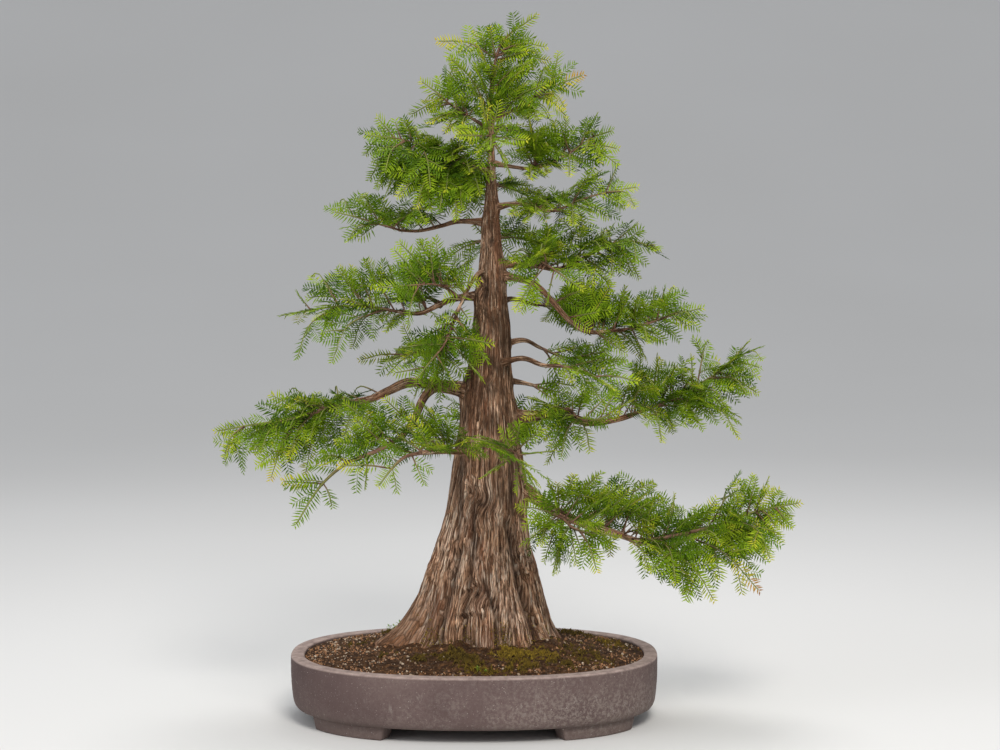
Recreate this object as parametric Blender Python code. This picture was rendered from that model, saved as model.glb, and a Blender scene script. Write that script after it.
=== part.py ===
"""Bald cypress bonsai in an oval clay tray, in metres, +Z up, standing on z = 0.

The tree is a fluted trunk with spreading roots, tapering limbs, and sprays of two-ranked needles.
Each spray hangs on its own limb end, and the root base stands in a hole in the mounded soil.
"""

import math
import random

import bmesh
import bpy
import numpy as np
from mathutils import Matrix, Vector

GAP = 0.0003  # clearance between solids that touch on the real thing
SEED = 7

# Tray: an oval of unglazed clay, on four curved strip feet
POT_X = -0.0415
POT_HALF_LENGTH = 0.232
POT_HALF_DEPTH = 0.179
POT_SQUARENESS = 2.3  # 2 would be an ellipse
POT_SIDES = 36  # the soil and the trunk have as many, so that their facets match
RIM_Z = 0.0825
RIM_WIDTH = 0.017
FLOOR_Z = 0.0255
FOOT_HEIGHT = 0.0165
FOOT_INSET = 0.012
FOOT_WIDTH = 0.024
FOOT_TAPER = 0.002
FOOT_BEARINGS = (45, 135, 225, 315)
FOOT_HALF_SPAN = 19
FOOT_STEPS = 6
FOOT_SUNK = 0.003
FOOT_END_LEAN = math.radians(1.0)
DRAIN_X = 0.085
DRAIN_RADIUS = 0.012
DRAIN_SIDES = 16
DRAIN_CUT_DEPTH = 0.030
# Wall profile, outside from the underside up: how far in from the outer oval, and the height
WALL_OUTSIDE = (
    (0.0130, FOOT_HEIGHT),
    (0.0060, FOOT_HEIGHT + 0.0025),
    (0.0025, 0.028),
    (0.0, 0.052),
    (0.0, RIM_Z - 0.0035),
    (0.0012, RIM_Z - 0.0010),
    (0.0035, RIM_Z),
)
WALL_INSIDE = (
    (RIM_WIDTH - 0.0015, RIM_Z),
    (RIM_WIDTH, RIM_Z - 0.0015),
    (RIM_WIDTH, 0.044),
    (RIM_WIDTH + 0.006, 0.031),
    (RIM_WIDTH + 0.018, FLOOR_Z),
)

# Soil: mounded from just below the rim to the root base
SOIL_EDGE_DROP = 0.0035
SOIL_GAP = 0.00045  # to the tray's wall and to the root base
SOIL_RINGS = 3
MOUND_Z = 0.0945
MOUND_LEFT_Z = 0.0905
SOIL_LUMP = 0.0007
SOIL_WAVES = (95, 120, 60)  # radians a metre: along x, along y, and how much x turns y's
SCREEN_SIDE = 0.044
SCREEN_THICK = 0.0012
SCREEN_HOLE = 0.0150
SCREEN_PITCH = 0.0190
SCREEN_CUT_DEPTH = 0.010

# Trunk: height, centre x and half width, up to where the leader goes on as a limb
TRUNK_SIDES = POT_SIDES
ROOT_FLOOR_Z = 0.070
SOIL_LINE_Z = 0.0960
TRUNK = (
    (ROOT_FLOOR_Z, -0.0330, 0.0830),
    (SOIL_LINE_Z, -0.0330, 0.0830),
    (0.114, -0.0325, 0.0805),
    (0.132, -0.0318, 0.0780),
    (0.150, -0.0312, 0.0742),
    (0.187, -0.0305, 0.0658),
    (0.217, -0.0300, 0.0572),
    (0.264, -0.0265, 0.0485),
    (0.330, -0.0240, 0.0425),
    (0.376, -0.0240, 0.0350),
    (0.441, -0.0215, 0.0277),
    (0.496, -0.0200, 0.0239),
    (0.550, -0.0200, 0.0182),
    (0.614, -0.0205, 0.0125),
    (0.650, -0.0200, 0.0092),
    (0.690, -0.0195, 0.0058),
)
TRUNK_HEIGHTS = (
    ROOT_FLOOR_Z, SOIL_LINE_Z, 0.101, 0.107, 0.114, 0.122, 0.132, 0.150, 0.168, 0.187,
    0.217, 0.240, 0.268, 0.300, 0.335, 0.376, 0.410, 0.450, 0.496, 0.550, 0.614, 0.690,
)
TRUNK_TOP_Z = TRUNK[-1][0]
DEPTH_AT_BASE = 0.74  # depth of the trunk against its width
DEPTH_AT_TOP = 0.97
ROUND_FROM_Z = 0.330
# Root buttresses: bearing in degrees from +X towards +Y, reach beyond the trunk at the soil, half width
BUTTRESSES = (
    (187, 0.052, 13), (218, 0.019, 12), (246, 0.009, 10), (272, 0.005, 9), (291, 0.010, 9),
    (315, 0.013, 11), (342, 0.018, 11), (10, 0.020, 12), (42, 0.016, 13), (78, 0.012, 13),
    (112, 0.016, 13), (150, 0.020, 14),
)
ROOT_FALL = 0.030  # height over which a root's reach falls to a third
RIB_SHARE = 0.075  # the ribs that run up from the roots, as a share of the half width
RIB_FALL = 0.150

SIDED_FROM = (0.0032, 0.0070)  # a limb has four sides, six if thicker than the first, eight than the second

# Limbs: radius where it leaves the trunk, radius at its end, and the points it passes
LIMBS = {
    "leader": (0.0056, 0.0018, ((-0.0196, 0.0, 0.678), (-0.0205, 0.0, 0.720), (-0.0205, 0.0, 0.760),
                                (-0.0195, 0.0, 0.795), (-0.0160, 0.0, 0.822))),
    "right_low": (0.0085, 0.0034, ((-0.010, -0.004, 0.290), (0.022, -0.008, 0.287), (0.063, -0.020, 0.262),
                                   (0.104, -0.030, 0.246), (0.136, -0.030, 0.237), (0.168, -0.030, 0.225))),
    "right_low_front": (0.0040, 0.0022, ((0.050, -0.016, 0.270), (0.060, -0.045, 0.270),
                                         (0.066, -0.070, 0.264))),
    "right_low_back": (0.0042, 0.0022, ((0.095, -0.026, 0.249), (0.112, 0.004, 0.258),
                                        (0.124, 0.040, 0.254))),
    "right_mid": (0.0078, 0.0032, ((-0.012, 0.000, 0.376), (0.010, 0.000, 0.381), (0.042, 0.010, 0.382),
                                   (0.068, 0.020, 0.383), (0.103, 0.020, 0.372), (0.136, 0.020, 0.375),
                                   (0.160, 0.020, 0.382))),
    "right_mid_front": (0.0036, 0.0020, ((0.066, 0.018, 0.383), (0.076, -0.018, 0.392),
                                         (0.083, -0.048, 0.388))),
    "right_stub": (0.0032, 0.0016, ((-0.006, 0.004, 0.428), (0.022, 0.018, 0.422), (0.046, 0.030, 0.415))),
    "right_twig": (0.0030, 0.0016, ((-0.006, 0.004, 0.472), (0.021, 0.012, 0.477), (0.043, 0.030, 0.466),
                                    (0.073, 0.058, 0.452))),
    "right_curved": (0.0046, 0.0022, ((-0.016, 0.000, 0.561), (0.027, -0.020, 0.552), (0.049, -0.030, 0.536),
                                      (0.066, -0.030, 0.516), (0.081, -0.030, 0.501),
                                      (0.104, -0.020, 0.489), (0.146, -0.002, 0.491))),
    "right_high": (0.0040, 0.0020, ((-0.016, 0.000, 0.574), (0.035, 0.004, 0.571), (0.067, 0.020, 0.567),
                                    (0.101, 0.028, 0.583), (0.126, 0.028, 0.597))),
    "right_high_front": (0.0028, 0.0016, ((0.030, 0.003, 0.571), (0.040, -0.024, 0.578),
                                          (0.046, -0.046, 0.576))),
    "right_top": (0.0034, 0.0016, ((-0.018, 0.000, 0.644), (0.016, -0.016, 0.649), (0.050, -0.016, 0.640),
                                   (0.073, -0.010, 0.645))),
    "right_crown": (0.0026, 0.0014, ((-0.020, 0.000, 0.700), (0.027, 0.002, 0.693), (0.053, 0.008, 0.699),
                                     (0.072, 0.008, 0.708))),
    "left_low": (0.0088, 0.0040, ((-0.036, 0.000, 0.404), (-0.056, 0.000, 0.415), (-0.092, 0.002, 0.421),
                                  (-0.122, 0.008, 0.424), (-0.148, 0.008, 0.414),
                                  (-0.169, 0.002, 0.404), (-0.194, -0.004, 0.399))),
    "left_fork": (0.0062, 0.0036, ((-0.088, 0.002, 0.421), (-0.103, -0.030, 0.409), (-0.114, -0.056, 0.386),
                                   (-0.130, -0.082, 0.362))),
    "left_front": (0.0052, 0.0028, ((-0.036, -0.014, 0.338), (-0.054, -0.062, 0.343),
                                    (-0.080, -0.104, 0.348), (-0.104, -0.140, 0.350))),
    "front_low": (0.0044, 0.0024, ((-0.020, -0.014, 0.342), (-0.004, -0.066, 0.350),
                                   (0.004, -0.112, 0.350), (0.008, -0.140, 0.350))),
    "left_mid": (0.0046, 0.0022, ((-0.026, 0.000, 0.533), (-0.044, 0.000, 0.533), (-0.070, -0.008, 0.529),
                                  (-0.091, -0.016, 0.520), (-0.111, -0.016, 0.512),
                                  (-0.137, -0.008, 0.514))),
    "left_mid_front": (0.0028, 0.0016, ((-0.062, -0.005, 0.531), (-0.076, -0.034, 0.545),
                                        (-0.086, -0.058, 0.549))),
    "left_mid_back": (0.0030, 0.0016, ((-0.084, -0.014, 0.523), (-0.098, 0.022, 0.530),
                                       (-0.108, 0.052, 0.527))),
    "left_hanging": (0.0026, 0.0016, ((-0.026, -0.006, 0.566), (-0.040, -0.030, 0.558),
                                      (-0.060, -0.062, 0.520), (-0.070, -0.078, 0.492))),
    "left_upper": (0.0036, 0.0018, ((-0.020, 0.000, 0.626), (-0.060, 0.000, 0.627), (-0.084, 0.008, 0.621),
                                    (-0.112, 0.008, 0.615), (-0.136, 0.002, 0.616))),
    "left_high": (0.0028, 0.0015, ((-0.020, 0.000, 0.688), (-0.062, 0.000, 0.701), (-0.101, 0.000, 0.720))),
    "crown_left": (0.0022, 0.0013, ((-0.0205, 0.000, 0.742), (-0.040, -0.003, 0.753),
                                    (-0.058, -0.005, 0.764))),
    "crown_right": (0.0022, 0.0013, ((-0.0205, 0.000, 0.752), (0.004, 0.000, 0.764), (0.026, 0.000, 0.778))),
    "crown_front": (0.0022, 0.0013, ((-0.0205, -0.001, 0.716), (-0.022, -0.026, 0.722),
                                     (-0.021, -0.048, 0.728))),
    "crown_back": (0.0022, 0.0013, ((-0.0205, 0.001, 0.728), (-0.015, 0.030, 0.736), (-0.012, 0.052, 0.742))),
    "back_low": (0.0072, 0.0030, ((-0.024, 0.012, 0.350), (-0.020, 0.060, 0.360), (-0.030, 0.104, 0.352),
                                  (-0.024, 0.144, 0.356))),
    "back_left": (0.0048, 0.0022, ((-0.026, 0.006, 0.462), (-0.052, 0.046, 0.468), (-0.084, 0.088, 0.458))),
    "back_right": (0.0042, 0.0020, ((-0.018, 0.004, 0.520), (0.006, 0.044, 0.528), (0.036, 0.082, 0.519))),
    "back_high": (0.0036, 0.0017, ((-0.020, 0.003, 0.600), (-0.030, 0.048, 0.608), (-0.026, 0.086, 0.603))),
    "back_top": (0.0028, 0.0015, ((-0.020, 0.002, 0.664), (-0.012, 0.036, 0.674), (-0.016, 0.064, 0.673))),
    "front_right": (0.0040, 0.0022, ((-0.014, -0.010, 0.448), (0.018, -0.050, 0.458), (0.044, -0.086, 0.452),
                                     (0.064, -0.114, 0.453))),
}

# Sprays: the points that each stem passes beyond its limb's end, then where it and its twigs end
SPRAYS = {
    "leader": (((-0.0130, 0.0, 0.835), (-0.002, 0.000, 0.856)),
               ((0.035, 0.000, 0.8825), (-0.021, -0.020, 0.864), (0.046, -0.026, 0.843),
                (0.018, 0.038, 0.848), (-0.043, 0.030, 0.862), (-0.085, -0.010, 0.851))),
    "right_low": (((0.205, -0.024, 0.232), (0.258, -0.014, 0.243), (0.310, -0.004, 0.260)),
                  ((0.366, -0.020, 0.274), (0.331, 0.012, 0.300), (0.362, 0.030, 0.250),
                   (0.322, -0.098, 0.215), (0.311, -0.070, 0.172), (0.254, -0.086, 0.163),
                   (0.290, 0.080, 0.270), (0.205, -0.118, 0.190), (0.212, 0.004, 0.280),
                   (0.250, 0.092, 0.214))),
    "right_low_front": (((0.074, -0.092, 0.258), (0.088, -0.114, 0.252)),
                        ((0.134, -0.150, 0.250), (0.013, -0.122, 0.283), (0.018, -0.118, 0.236),
                         (0.056, -0.112, 0.200), (0.108, -0.128, 0.206), (0.108, -0.068, 0.312))),
    "right_low_back": (((0.136, 0.066, 0.250), (0.150, 0.088, 0.245)),
                       ((0.184, 0.112, 0.240), (0.134, 0.074, 0.196), (0.072, 0.084, 0.250),
                        (0.118, 0.138, 0.262))),
    "right_mid": (((0.200, 0.022, 0.398), (0.246, 0.018, 0.422), (0.280, 0.012, 0.446)),
                  ((0.304, 0.010, 0.475), (0.316, -0.038, 0.456), (0.323, 0.050, 0.440),
                   (0.314, 0.000, 0.412), (0.285, -0.062, 0.362), (0.260, 0.072, 0.470),
                   (0.190, -0.074, 0.358), (0.216, 0.086, 0.354))),
    "right_mid_front": (((0.090, -0.072, 0.384), (0.102, -0.086, 0.384)),
                        ((0.134, -0.104, 0.394), (0.100, -0.108, 0.350), (0.066, -0.098, 0.341),
                         (0.050, -0.060, 0.330), (0.126, -0.054, 0.414))),
    "right_twig": (((0.092, 0.074, 0.450), (0.112, 0.088, 0.450)),
                   ((0.152, 0.112, 0.442), (0.130, 0.070, 0.470), (0.096, 0.132, 0.450),
                    (0.106, 0.066, 0.408))),
    "right_curved": (((0.172, 0.000, 0.497), (0.204, 0.000, 0.508)),
                     ((0.244, 0.002, 0.518), (0.213, 0.042, 0.541), (0.230, -0.058, 0.502),
                      (0.210, 0.066, 0.482), (0.172, -0.082, 0.480), (0.174, -0.018, 0.455),
                      (0.164, -0.054, 0.531))),
    "right_high": (((0.146, 0.024, 0.602), (0.164, 0.012, 0.601)),
                   ((0.189, 0.000, 0.592), (0.164, 0.046, 0.622), (0.168, 0.052, 0.556),
                    (0.158, -0.060, 0.578), (0.124, 0.084, 0.610))),
    "right_high_front": (((0.052, -0.066, 0.572), (0.064, -0.078, 0.564)),
                         ((0.090, -0.092, 0.546), (0.048, -0.090, 0.530), (0.010, -0.086, 0.522),
                          (0.040, -0.122, 0.592))),
    "right_top": (((0.098, -0.004, 0.656), (0.128, 0.000, 0.664)),
                  ((0.161, 0.000, 0.670), (0.140, 0.028, 0.698), (0.157, -0.048, 0.646),
                   (0.080, -0.078, 0.624), (0.100, 0.078, 0.664), (0.104, -0.044, 0.690))),
    "right_crown": (((0.090, 0.008, 0.720), (0.106, -0.006, 0.732)),
                    ((0.129, -0.038, 0.739), (0.112, 0.022, 0.760), (0.138, 0.030, 0.719),
                     (0.136, -0.010, 0.699), (0.076, -0.060, 0.684), (0.072, 0.072, 0.724))),
    "left_low": (((-0.232, -0.004, 0.390), (-0.276, 0.000, 0.377), (-0.326, 0.002, 0.370)),
                 ((-0.366, 0.000, 0.363), (-0.352, -0.040, 0.337), (-0.362, 0.048, 0.318),
                  (-0.326, 0.100, 0.326), (-0.294, -0.048, 0.309), (-0.262, 0.092, 0.300),
                  (-0.284, 0.072, 0.400), (-0.222, 0.070, 0.404))),
    "left_fork": (((-0.160, -0.102, 0.348), (-0.196, -0.114, 0.334), (-0.228, -0.122, 0.306)),
                  ((-0.256, -0.128, 0.262), (-0.212, -0.142, 0.286), (-0.272, -0.110, 0.312),
                   (-0.172, -0.124, 0.308), (-0.220, -0.162, 0.338), (-0.172, -0.070, 0.372))),
    "left_front": (((-0.122, -0.168, 0.348), (-0.136, -0.200, 0.338)),
                   ((-0.150, -0.236, 0.322), (-0.100, -0.176, 0.318), (-0.078, -0.188, 0.364),
                    (-0.196, -0.214, 0.342))),
    "front_low": (((0.010, -0.170, 0.348), (0.014, -0.206, 0.346)),
                  ((0.024, -0.258, 0.348), (-0.044, -0.180, 0.372), (-0.030, -0.206, 0.328),
                   (0.010, -0.208, 0.312), (0.054, -0.176, 0.356))),
    "left_mid": (((-0.170, -0.006, 0.520), (-0.208, -0.004, 0.521), (-0.246, 0.000, 0.516)),
                 ((-0.284, 0.002, 0.509), (-0.264, 0.012, 0.535), (-0.250, 0.048, 0.556),
                  (-0.258, -0.070, 0.461), (-0.214, -0.090, 0.458), (-0.198, 0.042, 0.561),
                  (-0.198, 0.062, 0.466))),
    "left_mid_front": (((-0.096, -0.080, 0.551), (-0.122, -0.094, 0.550)),
                       ((-0.156, -0.108, 0.548), (-0.138, -0.070, 0.592), (-0.094, -0.086, 0.600),
                        (-0.120, -0.122, 0.506))),
    "left_mid_back": (((-0.112, 0.078, 0.524), (-0.114, 0.108, 0.516)),
                      ((-0.112, 0.148, 0.504), (-0.080, 0.094, 0.580), (-0.168, 0.112, 0.520),
                       (-0.148, 0.076, 0.566))),
    "left_hanging": (((-0.078, -0.090, 0.476), (-0.092, -0.108, 0.460)),
                     ((-0.110, -0.126, 0.438), (-0.134, -0.082, 0.472), (-0.136, -0.104, 0.444),
                      (-0.062, -0.128, 0.430), (-0.030, -0.112, 0.436), (-0.020, -0.108, 0.480))),
    "left_upper": (((-0.162, 0.000, 0.624), (-0.188, 0.000, 0.632)),
                   ((-0.216, 0.002, 0.639), (-0.213, 0.044, 0.650), (-0.183, -0.048, 0.654),
                    (-0.196, -0.042, 0.604), (-0.150, 0.066, 0.620), (-0.100, -0.080, 0.626))),
    "left_high": (((-0.122, 0.000, 0.727), (-0.146, -0.004, 0.732)),
                  ((-0.174, -0.012, 0.734), (-0.162, 0.014, 0.756), (-0.178, 0.034, 0.712),
                   (-0.150, -0.056, 0.690), (-0.120, 0.070, 0.736),
                   (-0.094, -0.070, 0.668), (-0.130, 0.020, 0.672))),
    "crown_left": (((-0.072, -0.005, 0.774), (-0.088, -0.004, 0.788)),
                   ((-0.106, 0.002, 0.801), (-0.119, 0.020, 0.762), (-0.101, -0.048, 0.776),
                    (-0.072, 0.058, 0.790), (-0.066, 0.010, 0.824))),
    "crown_right": (((0.042, 0.000, 0.788), (0.064, 0.000, 0.798)),
                    ((0.093, 0.000, 0.809), (0.064, 0.028, 0.838), (0.070, -0.048, 0.768),
                     (0.050, -0.046, 0.814), (0.060, 0.062, 0.786))),
    "crown_front": (((-0.020, -0.070, 0.732), (-0.020, -0.094, 0.728)),
                    ((-0.020, -0.126, 0.716), (-0.060, -0.092, 0.732), (0.022, -0.098, 0.726),
                     (-0.033, -0.086, 0.774), (0.004, -0.106, 0.684))),
    "crown_back": (((-0.011, 0.076, 0.746), (-0.010, 0.102, 0.750)),
                   ((-0.010, 0.134, 0.752), (-0.050, 0.104, 0.744), (0.032, 0.108, 0.742),
                    (-0.012, 0.080, 0.803))),
    "back_low": (((-0.012, 0.180, 0.354), (-0.004, 0.220, 0.350)),
                 ((0.000, 0.260, 0.346), (0.048, 0.232, 0.332), (-0.054, 0.238, 0.336),
                  (0.062, 0.182, 0.360), (-0.076, 0.184, 0.366))),
    "back_left": (((-0.112, 0.124, 0.454), (-0.138, 0.158, 0.448)),
                  ((-0.166, 0.194, 0.440), (-0.192, 0.140, 0.444), (-0.116, 0.202, 0.456),
                   (-0.136, 0.150, 0.486))),
    "back_right": (((0.062, 0.112, 0.515), (0.086, 0.146, 0.509)),
                   ((0.108, 0.182, 0.500), (0.132, 0.142, 0.504), (0.058, 0.186, 0.514),
                    (0.098, 0.118, 0.546))),
    "back_high": (((-0.022, 0.118, 0.601), (-0.020, 0.148, 0.599)),
                  ((-0.020, 0.182, 0.594), (-0.070, 0.152, 0.592), (0.034, 0.152, 0.600),
                   (-0.050, 0.112, 0.630))),
    "back_top": (((-0.019, 0.092, 0.672), (-0.020, 0.120, 0.670)),
                 ((-0.020, 0.152, 0.666), (-0.066, 0.122, 0.664), (0.030, 0.126, 0.672),
                  (-0.040, 0.092, 0.700))),
    "front_right": (((0.086, -0.144, 0.450), (0.104, -0.180, 0.444)),
                    ((0.122, -0.220, 0.434), (0.152, -0.180, 0.440), (0.080, -0.208, 0.450),
                     (0.140, -0.128, 0.462))),
}
STEM_RADIUS_SHARE = 0.8
STEM_TIP_RADIUS = 0.0009
TWIG_RADIUS = 0.0011
TWIG_TIP_RADIUS = 0.0008
TWIG_ARCH = 0.07
TWIG_ROOT = 0.0016  # length of the pointed root that sits inside the stem
STEM_REACH = (0.12, 0.94)  # shares of a stem between which its twigs leave
BACK_OFF = 0.55  # how far below its nearest stem point a twig leaves, as a share of its distance
LONG_TWIG = 0.050
TWIG_SWEEP = 0.05
BEND_STEP = 0.009

# Needles: two rows along the outer part of each twig, raised from its two upper faces
NEEDLE_LENGTH = 0.0125
NEEDLE_HALF_BASE = 0.0008
NEEDLE_STEP = 0.0100
NEEDLE_SPREAD = math.radians(56)
FIRST_NEEDLE = 0.0040
NEEDLED_SHARE = 0.62
END_NEEDLE = 0.8
NEEDLE_VARIES = (0.93, 1.05)
UPRIGHT = 0.1
TWIG_PAIRS = 3
STEM_PAIRS = 4
ROLL_SPREAD = math.radians(50)
CLEAR = 0.0006  # least distance between two different sprays, or a spray and the wood


def clear_scene():
    for obj in list(bpy.data.objects):
        bpy.data.objects.remove(obj)


def new_material(name, colour, roughness):
    material = bpy.data.materials.new(name)
    material.use_nodes = True
    shader = material.node_tree.nodes["Principled BSDF"]
    shader.inputs["Base Color"].default_value = (*colour, 1.0)
    shader.inputs["Roughness"].default_value = roughness
    return material


def add_object(name, mesh, material):
    obj = bpy.data.objects.new(name, mesh)
    bonsai.objects.link(obj)
    obj.data.materials.clear()
    obj.data.materials.append(material)
    return obj


def evaluated_mesh(obj):
    graph = bpy.context.evaluated_depsgraph_get()
    return bpy.data.meshes.new_from_object(obj.evaluated_get(graph))


def shade(obj, angle=math.radians(40)):
    obj.data.shade_smooth()
    obj.data.set_sharp_from_angle(angle=angle)


def loft(rings, low_centre, high_centre):
    """A closed mesh through rings of equal count, listed from the bottom up and anticlockwise from above."""
    bm = bmesh.new()
    rows = [[bm.verts.new(point) for point in ring] for ring in rings]
    count = len(rows[0])
    for low, high in zip(rows, rows[1:]):
        for i in range(count):
            j = (i + 1) % count
            bm.faces.new((low[i], low[j], high[j], high[i]))
    low, high = bm.verts.new(low_centre), bm.verts.new(high_centre)
    for i in range(count):
        j = (i + 1) % count
        bm.faces.new((low, rows[0][j], rows[0][i]))
        bm.faces.new((high, rows[-1][i], rows[-1][j]))
    mesh = bpy.data.meshes.new("loft")
    bm.to_mesh(mesh)
    bm.free()
    return mesh


def cut(obj, cutters):
    """Cuts the objects in cutters from obj, and keeps the result as its mesh."""
    for cutter in cutters:
        modifier = obj.modifiers.new(cutter.name, "BOOLEAN")
        modifier.operation = "DIFFERENCE"
        modifier.solver = "EXACT"
        modifier.object = cutter
    mesh = evaluated_mesh(obj)
    obj.modifiers.clear()
    obj.data = mesh
    for cutter in cutters:
        bpy.data.objects.remove(cutter)


def fuse(name, pieces, material, solver):
    """One solid from pieces that overlap, by one Boolean union on their collection."""
    group = bpy.data.collections.new(name + "_pieces")
    bpy.context.scene.collection.children.link(group)
    for piece in pieces[1:]:
        group.objects.link(piece)
    first = pieces[0]
    bonsai.objects.link(first)
    modifier = first.modifiers.new("join", "BOOLEAN")
    modifier.operation = "UNION"
    modifier.solver = solver
    modifier.operand_type = "COLLECTION"
    modifier.collection = group
    mesh = evaluated_mesh(first)
    mesh.name = name
    for piece in pieces:
        bpy.data.objects.remove(piece)
    bpy.data.collections.remove(group)
    return add_object(name, mesh, material)


def loose_object(mesh):
    return bpy.data.objects.new("piece", mesh)


def tube(points, radii, resolution):
    """A tapering tube through points as a closed mesh object, not yet in any collection."""
    curve = bpy.data.curves.new("tube", "CURVE")
    curve.dimensions = "3D"
    curve.bevel_depth = 1.0
    curve.bevel_resolution = resolution
    curve.use_fill_caps = True
    spline = curve.splines.new("POLY")
    spline.points.add(len(points) - 1)
    for point, place, radius in zip(spline.points, points, radii):
        point.co = (*place, 1.0)
        point.radius = radius
    guide = bpy.data.objects.new("guide", curve)
    bonsai.objects.link(guide)
    mesh = evaluated_mesh(guide)
    bpy.data.objects.remove(guide)
    bpy.data.curves.remove(curve)
    bm = bmesh.new()
    bm.from_mesh(mesh)
    bmesh.ops.remove_doubles(bm, verts=bm.verts, dist=1e-6)
    bmesh.ops.recalc_face_normals(bm, faces=bm.faces)
    bm.to_mesh(mesh)
    bm.free()
    return loose_object(mesh)


def on_oval(inset, angle, z):
    """A point on the tray's slightly squared oval, a given distance in from its outer edge."""
    power = 2 / POT_SQUARENESS
    x = math.copysign(abs(math.cos(angle)) ** power, math.cos(angle))
    y = math.copysign(abs(math.sin(angle)) ** power, math.sin(angle))
    return Vector((POT_X + (POT_HALF_LENGTH - inset) * x, (POT_HALF_DEPTH - inset) * y, z))


def oval(inset, z):
    return [on_oval(inset, 2 * math.pi * i / POT_SIDES, z) for i in range(POT_SIDES)]


def foot(bearing):
    """A curved strip foot, a little narrower at the bottom, sunk into the tray's underside."""
    rows = []
    for i in range(FOOT_STEPS + 1):
        share = i / FOOT_STEPS * 2 - 1
        row = []
        for inset, z in (
            (FOOT_INSET + FOOT_TAPER, 0.0),
            (FOOT_INSET, FOOT_HEIGHT + FOOT_SUNK),
            (FOOT_INSET + FOOT_WIDTH, FOOT_HEIGHT + FOOT_SUNK),
            (FOOT_INSET + FOOT_WIDTH - FOOT_TAPER, 0.0),
        ):
            lean = FOOT_END_LEAN if z == 0 else 0.0
            angle = math.radians(bearing + share * FOOT_HALF_SPAN) - share * lean
            row.append(on_oval(inset, angle, z))
        rows.append(row)
    bm = bmesh.new()
    verts = [[bm.verts.new(point) for point in row] for row in rows]
    for a, b in zip(verts, verts[1:]):
        for i in range(4):
            bm.faces.new((a[i], a[(i + 1) % 4], b[(i + 1) % 4], b[i]))
    bm.faces.new(verts[0])
    bm.faces.new(verts[-1])
    bmesh.ops.recalc_face_normals(bm, faces=bm.faces)
    mesh = bpy.data.meshes.new("foot")
    bm.to_mesh(mesh)
    bm.free()
    return loose_object(mesh)


def drain(centre):
    """The cylinder that cuts one drain hole."""
    bm = bmesh.new()
    bmesh.ops.create_cone(bm, cap_ends=True, segments=DRAIN_SIDES, radius1=DRAIN_RADIUS,
                          radius2=DRAIN_RADIUS, depth=DRAIN_CUT_DEPTH, matrix=Matrix.Translation(centre))
    mesh = bpy.data.meshes.new("drain")
    bm.to_mesh(mesh)
    bm.free()
    return loose_object(mesh)


def block(centre, size):
    bm = bmesh.new()
    place = Matrix.Translation(centre) @ Matrix.Diagonal((*size, 1.0))
    bmesh.ops.create_cube(bm, size=1.0, matrix=place)
    mesh = bpy.data.meshes.new("block")
    bm.to_mesh(mesh)
    bm.free()
    return loose_object(mesh)


def as_cutters(pieces):
    for piece in pieces:
        cutters.objects.link(piece)
        piece.hide_render = True
        piece.display_type = "WIRE"
    return pieces


def make_pot():
    rings = [oval(inset, z) for inset, z in (*WALL_OUTSIDE, *WALL_INSIDE)]
    body = loose_object(loft(rings, (POT_X, 0, FOOT_HEIGHT), (POT_X, 0, FLOOR_Z)))
    pot = fuse("pot", [body, *(foot(bearing) for bearing in FOOT_BEARINGS)], clay, "EXACT")
    middle = (FOOT_HEIGHT + FLOOR_Z) / 2
    cut(pot, as_cutters([drain((POT_X + side * DRAIN_X, 0, middle)) for side in (-1, 1)]))
    shade(pot)


def make_screens():
    """A square of plastic mesh over each drain hole."""
    for name, side in (("drain_screen_left", -1), ("drain_screen_right", 1)):
        centre = Vector((POT_X + side * DRAIN_X, 0, FLOOR_Z + GAP + SCREEN_THICK / 2))
        mesh = block(centre, (SCREEN_SIDE, SCREEN_SIDE, SCREEN_THICK)).data
        screen = add_object(name, mesh, black_plastic)
        holes = []
        for i in (-0.5, 0.5):
            for j in (-0.5, 0.5):
                place = centre + Vector((i * SCREEN_PITCH, j * SCREEN_PITCH, 0))
                holes.append(block(place, (SCREEN_HOLE, SCREEN_HOLE, SCREEN_CUT_DEPTH)))
        cut(screen, as_cutters(holes))


def between(table, z):
    """Centre x and half width at a height, on straight lines between the table's rows."""
    for (z0, *low), (z1, *high) in zip(table, table[1:]):
        if z <= z1:
            share = min(max((z - z0) / (z1 - z0), 0.0), 1.0)
            return [a + (b - a) * share for a, b in zip(low, high)]
    return list(table[-1][1:])


def trunk_radius(z, angle):
    """Distance from the trunk's axis to its surface, at a height and a bearing in radians."""
    _, half = between(TRUNK, z)
    share = min(max((z - SOIL_LINE_Z) / (ROUND_FROM_Z - SOIL_LINE_Z), 0.0), 1.0)
    depth = half * (DEPTH_AT_BASE + (DEPTH_AT_TOP - DEPTH_AT_BASE) * share)
    radius = half * depth / math.hypot(depth * math.cos(angle), half * math.sin(angle))
    above = max(z - SOIL_LINE_Z, 0.0)
    rib = RIB_SHARE * half * math.exp(-above / RIB_FALL)
    radius -= rib
    for bearing, reach, width in BUTTRESSES:
        away = (math.degrees(angle) - bearing + 180) % 360 - 180
        ridge = math.exp(-((away / width) ** 2))
        radius += ridge * (reach * math.exp(-above / ROOT_FALL) + rib)
    return radius


def trunk_ring(z, grow=0.0, at=None):
    centre, _ = between(TRUNK, z)
    ring = []
    for i in range(TRUNK_SIDES):
        angle = 2 * math.pi * i / TRUNK_SIDES
        reach = trunk_radius(z, angle) + grow
        ring.append(Vector((centre + reach * math.cos(angle), reach * math.sin(angle),
                            z if at is None else at)))
    return ring


def limb_radii(name):
    thick, thin, route = LIMBS[name]
    last = len(route) - 1
    return [thick + (thin - thick) * i / last for i in range(last + 1)]


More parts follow.
